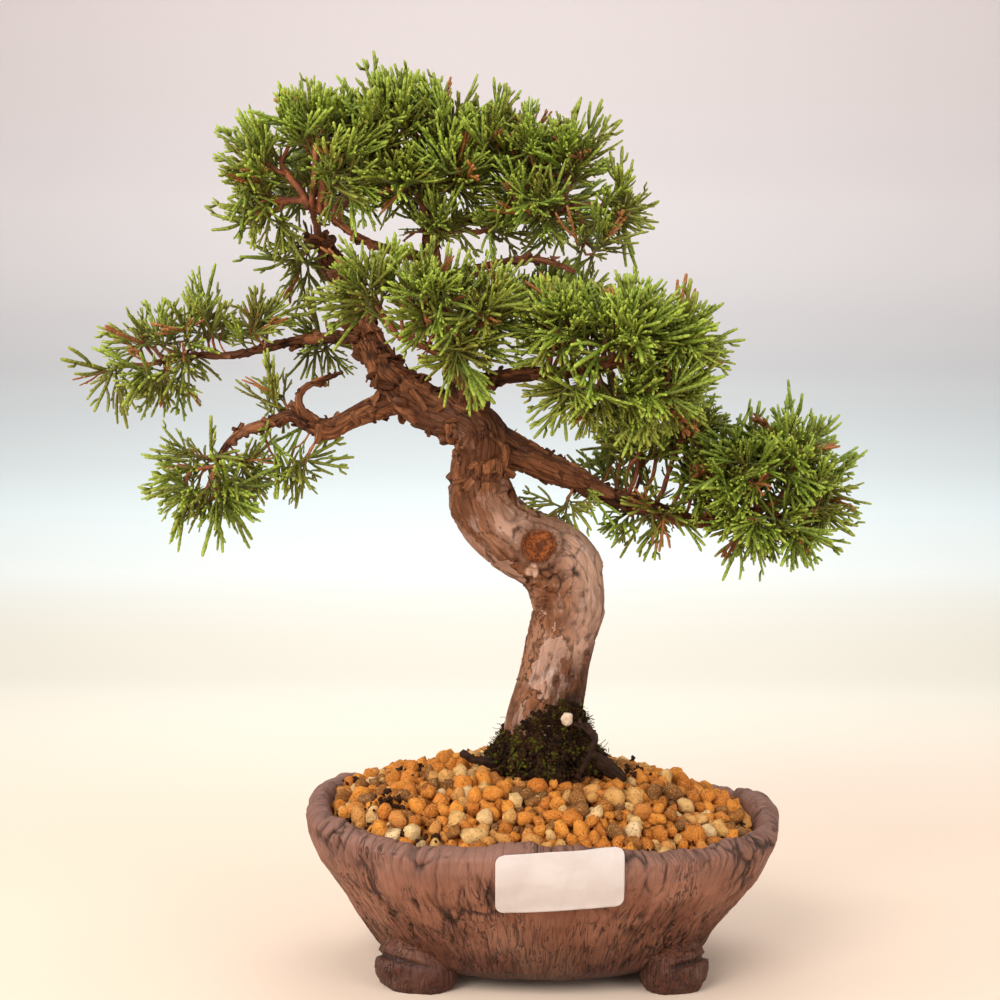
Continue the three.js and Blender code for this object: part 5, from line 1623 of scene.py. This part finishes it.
MOSS = moss_material()
draw = np.random.default_rng(63)
foot_line, _ = smooth_path(raised(TRUNK), 1.2)
foot_line = foot_line[(foot_line[:, 2] > SOIL_LINE - 9) & (foot_line[:, 2] < SOIL_LINE + 29)]
count = MOSS_CLUMPS
pick = draw.integers(0, len(foot_line), count)
turn = draw.uniform(0, TURN, count)
height = foot_line[pick, 2] - SOIL_LINE
# The moss climbs highest at the front, and thins out towards its upper edge.
climb = 11.0 + 15.0 * np.exp(-(np.angle(np.exp(1j * (turn + 1.0))) / 0.75) ** 2) + 3.0 * np.sin(3 * turn + 1)
kept = height < climb * draw.uniform(0.55, 1.0, count) ** 0.6
pick, turn, height = pick[kept], turn[kept], height[kept]
out = np.column_stack([np.cos(turn), np.sin(turn), np.full(len(turn), 0.25)])
skirt = np.clip(8.0 - height, 0, 15)
stand = foot_line[pick, 3] - 0.2 + skirt * (0.04 + 0.03 * skirt) * draw.uniform(0.2, 1.0, len(turn))
moss_place = foot_line[pick, :3] + out * stand[:, None]
moss_kit = kit_of("moss", [lump_mesh(1, 60 + i, (1.1, 1.0, 0.8), 0.8) for i in range(5)])
spots = {"place": to_frame(moss_place), "aim": out + draw.normal(size=out.shape) * 0.3,
         "roll": draw.uniform(0, TURN, len(out)), "kind": draw.integers(0, 5, len(out)),
         "size": draw.uniform(0.8, 2.1, len(out)) * MM, "tint": draw.beta(1.6, 2.4, len(out))}
scattered("moss_clumps", spots, moss_kit, MOSS, 0.2, 7, ["moss"])
count = MOSS_STRANDS
pick = draw.integers(0, len(moss_place), count)
direction = unit(out[pick] + draw.normal(size=(count, 3)) * 0.5)
spots = {"place": to_frame(moss_place[pick] + unit(out[pick]) * 0.4), "aim": direction,
         "roll": draw.uniform(0, TURN, count), "kind": draw.integers(0, 4, count),
         "size": draw.uniform(0.25, 0.6, count), "tint": draw.beta(1.9, 1.4, count)}
strand_kit = kit_of("strand", [strand_mesh(80 + i, 3.4 + 0.7 * i) for i in range(4)])
scattered("moss_strands", spots, strand_kit, MOSS, 0.2, 8, ["moss"])


def stone_material():
    made, board, shader = material("pale_pebble")
    mottle = board.mottle(420.0, 3200.0)
    base = board.mix(mottle["Patches"], (178, 148, 120), (206, 184, 160))
    base = board.mix(board.times(mottle["Pits"], 0.5), base, (170, 134, 104))
    surface(board, shader, base, board.between(mottle["Grit"], 0.2, 0.8, 0.5, 0.75))
    bump(board, shader, mottle["Grit"], 0.6, 0.0004)
    return made


def pebble_part():
    """A rounded pebble as a closed grid, in the row's frame."""
    rings, sides, seed = 22, 44, 31
    sphere = np.vstack([sphere_grid(rings, sides), [0, 0, -1], [0, 0, 1]])
    lumps = 1 + 0.3 * rough(sphere * 1.3 + seed, 3, seed)
    points = sphere * lumps[:, None] * [2.2, 1.9, 2.3]
    return points * MM + np.array(middle_of("pale_stone")), closed_faces(rings, sides)


skin_piece("pale_pebble", pebble_part(), stone_material(), ["pale_stone"])


def flank_front(x, z):
    """How far forward the pot's front stands behind a stiff card, in millimetres."""
    hit = np.full(x.shape, 0.0)
    for index in np.ndindex(x.shape):
        found = POT_SKIN.ray_cast(Vector((x[index], -200.0, z[index])), Vector((0, 1, 0)))[0]
        hit[index] = found.y if found else 0.0
    # Paper bridges the hollows: each spot takes the foremost skin around it, then the card is smoothed.
    for reach, pick in [(3, np.min)] * 2 + [(2, np.mean)] * 7:
        wide = np.pad(hit, reach, mode="edge")
        shifts = [(a, b) for a in range(2 * reach + 1) for b in range(2 * reach + 1)]
        hit = pick([wide[a:a + x.shape[0], b:b + x.shape[1]] for a, b in shifts], axis=0)
    return hit


def label_part():
    """A paper card with rounded corners that follows the flank, with a few soft creases."""
    across, up = 89, 45
    u, v = card_grid(across, up)
    corner = 3.0
    half_x, half_z = LABEL_LENGTH / 2, LABEL_HEIGHT / 2
    # Rows shrink towards the top and the bottom edge, which rounds the corners.
    near_edge = np.clip((np.abs(v) * half_z - (half_z - corner)) / corner, 0, 1)
    trim = corner * (1 - np.sqrt(1 - near_edge ** 2))
    x = u * (half_x - trim)
    z = v * half_z
    lie_x, lie_z = LABEL_SIDE + x, rim_height(-math.pi / 2) - LABEL_DROP + z + x * LABEL_TILT
    front = flank_front(lie_x, lie_z)
    flat = np.column_stack([lie_x.ravel(), np.zeros(x.size), lie_z.ravel()])
    crease = (1 - np.abs(noise(flat / [9.0, 1, 7.0], 5))) ** 6 * 0.12 + 0.6 * noise(flat / 15.0, 6)
    crease = (crease + 0.18 * noise(flat / 4.0, 7)).reshape(x.shape)
    skins = []
    for back in (0.0, 0.3):
        skins.append(np.stack([lie_x, front - 0.75 - crease * 0.8 + back, lie_z], axis=-1).reshape(-1, 3))
    return to_frame(np.vstack(skins)), card_faces(across, up)


def paper_material():
    made, board, shader = material("label_paper")
    mottle = board.mottle(70.0, 2400.0)
    # The card is painted greyer than white paper: painted shade.
    base = board.mix(mottle["Patches"], (186, 174, 168), (194, 183, 177))
    base = board.mix(board.between(mottle["Grit"], 0.6, 0.85, 0.0, 0.2), base, (210, 196, 186))
    surface(board, shader, base, board.between(mottle["Grit"], 0.2, 0.8, 0.35, 0.55))
    bump(board, shader, mottle["Patches"], 0.25, 0.0003)
    return made


skin_piece("blank_label", label_part(), paper_material(), ["label"])


def screen_material():
    made, board, shader = material("black_plastic_mesh")
    mottle = board.mottle(140.0, 2000.0)
    base = board.mix(mottle["Patches"], (22, 22, 22), (44, 42, 40))
    base = board.mix(board.between(mottle["Grit"], 0.6, 0.8, 0.0, 0.6), base, (112, 88, 66))
    surface(board, shader, base, board.between(mottle["Grit"], 0.2, 0.8, 0.4, 0.8))
    bump(board, shader, mottle["Grit"], 0.4, 0.0003)
    return made


def wire_material():
    made, board, shader = material("annealed_wire")
    mottle = board.mottle(190.0, 2400.0)
    base = board.mix(mottle["Patches"], (118, 74, 50), (92, 66, 52))
    base = board.mix(board.times(mottle["Pits"], 0.6), base, (58, 44, 36))
    surface(board, shader, base, board.between(mottle["Grit"], 0.2, 0.8, 0.38, 0.7))
    shader.inputs["Metallic"].default_value = 0.85
    bump(board, shader, mottle["Grit"], 0.4, 0.0002)
    return made


SCREEN = screen_material()
WIRE = wire_material()
for side in ("left", "right"):
    low, high = [np.array(corner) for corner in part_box(side + "_drain_screen")]
    middle, half = (low + high) / 2 / MM, (high - low) / 2 / MM
    strands = 13
    parts = []
    for k in range(strands):
        at = -1 + 2 * k / (strands - 1)
        for way in (0, 1):
            line = []
            for t in np.linspace(-1, 1, 2 * strands - 1):
                over = 0.28 * math.cos((t + 1) / 2 * (strands - 1) * math.pi + (k + way) * math.pi)
                place = (t * (half[0] - 0.6), at * (half[1] - 0.6), over)
                if way:
                    place = (at * (half[0] - 0.6), t * (half[1] - 0.6), over)
                line.append((*(middle + place), 0.36))
            parts.append(limb(line, 6, 1.0))
    points, faces, marks = joined(parts)
    skin_piece(side + "_drain_mesh", (points * MM, faces, marks), SCREEN,
               [side + "_drain_screen"])
    wire_low, wire_high = [np.array(corner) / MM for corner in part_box(side + "_drain_wire")]
    across, reach = 0.8, DRAIN_RADIUS * 0.55
    bottom, top = wire_low[2] + across, wire_high[2] - across
    bend = (wire_high[1] - wire_low[1]) / 2 - across
    centre = (wire_low + wire_high) / 2
    rise = top - bottom
    staple = [(0, -bend, 0), (0, -reach - 1.2, 0.05), (0, -reach, 1.0), (0.1, -reach, rise * 0.5),
              (0, -reach, rise - 1.0), (0, -reach + 1.1, rise), (0, reach - 1.1, rise),
              (0, reach, rise - 1.0), (-0.1, reach, rise * 0.5), (0, reach, 1.0),
              (0, reach + 1.2, 0.05), (0, bend, 0)]
    line = [(centre[0] + x, centre[1] + y, bottom + z, across * 0.92) for x, y, z in staple]
    points, faces, marks = limb(line, 12, 0.5)
    skin_piece(side + "_tie_wire", (points * MM, faces, marks), WIRE, [side + "_drain_wire"])


# ---------------------------------------------------------------- studio

CAMERA_LEFT, CAMERA_AWAY, CAMERA_HEIGHT = 15.4, 577.0, 177.0
WALL_HEIGHT = 1.4  # metres, over which the wall's painted light and shade changes
FLOOR_SHADE = (223, 202, 183)
# The wall grows lighter and darker with height: painted light and shade on a plain pale wall.
WALL_PAINTED_LIGHT = [(0.0, (237, 232, 218)), (0.011, (241, 246, 243)), (0.036, (232, 243, 245)),
               (0.066, (218, 227, 229)), (0.109, (208, 214, 217)), (0.166, (203, 204, 207)),
               (0.225, (210, 208, 211)), (0.31, (221, 217, 219)), (0.395, (226, 221, 223)),
               (0.48, (224, 218, 220)), (0.56, (227, 219, 221)), (1.0, (238, 228, 230))]
# Each light: its place and aim in millimetres, its size in metres, its power and its tint.
TREE_MIDDLE, WALL_MIDDLE = (0, 0, 150), (0, 1300, 0)
LIGHTS = {
    "key": ((-480, -820, 640), TREE_MIDDLE, 0.7, 10.6, (1.0, 0.97, 0.93)),
    "window": ((-900, -250, 360), TREE_MIDDLE, 0.6, 4.3, (1.0, 0.98, 0.96)),
    "fill": ((700, -620, 330), TREE_MIDDLE, 0.8, 5.0, (1.0, 0.98, 0.96)),
    "top": ((100, 300, 1100), TREE_MIDDLE, 0.9, 4.2, (0.97, 0.98, 1.0)),
    "backdrop": ((0, 560, 860), WALL_MIDDLE, 1.0, 3.2, (0.93, 0.97, 1.0)),
}


def studio():
    camera = bpy.data.objects.new("camera", bpy.data.cameras.new("camera"))
    camera.data.lens = 54.0
    camera.data.sensor_width = 36.0
    camera.data.clip_start = 0.02
    camera.location = to_frame([-CAMERA_LEFT, -CAMERA_AWAY, CAMERA_HEIGHT])
    camera.rotation_euler = (math.pi / 2, 0, 0)
    bpy.context.scene.collection.objects.link(camera)
    bpy.context.scene.camera = camera

    # A pale sweep: floor, curved foot of the wall, wall.
    profile = [(-2.2, 0.0), (0.9, 0.0)]
    profile += [(0.9 + 0.7 * math.sin(a), 0.7 - 0.7 * math.cos(a)) for a in np.linspace(0.1, math.pi / 2, 16)]
    profile += [(1.6, 3.0)]
    points = [(x, y, z) for y, z in profile for x in (-3.5, 3.5)]
    faces = [(2 * i, 2 * i + 1, 2 * i + 3, 2 * i + 2) for i in range(len(profile) - 1)]
    sweep = bpy.data.objects.new("sweep", mesh_from("sweep", np.array(points) + ORIGIN, faces))
    bpy.context.scene.collection.objects.link(sweep)
    made, board, shader = material("pale_paper")
    _, away, up = board.parts(board.place())
    wall_painted_light = board.ramp(board.between(up, 0.0, WALL_HEIGHT), WALL_PAINTED_LIGHT)
    base = board.mix(board.between(away, 0.1, 0.9), FLOOR_SHADE, wall_painted_light)
    surface(board, shader, base, 0.9, 0.1)
    sweep.data.materials.append(made)

    world = bpy.data.worlds.new("studio")
    world.use_nodes = True
    world.node_tree.nodes["Background"].inputs[0].default_value = (1.0, 0.98, 0.96, 1)
    world.node_tree.nodes["Background"].inputs[1].default_value = 0.56
    bpy.context.scene.world = world
    for name, (place, aim, size, power, tint) in LIGHTS.items():
        light = bpy.data.objects.new(name, bpy.data.lights.new(name, "AREA"))
        light.data.shape = "DISK"
        light.data.size = size
        light.data.energy = power
        light.data.color = tint
        light.location = to_frame(place)
        light.visible_camera = False
        towards = Vector(to_frame(aim)) - light.location
        light.rotation_euler = towards.to_track_quat("-Z", "Y").to_euler()
        bpy.context.scene.collection.objects.link(light)


studio()
bpy.context.scene.view_settings.view_transform = "Standard"
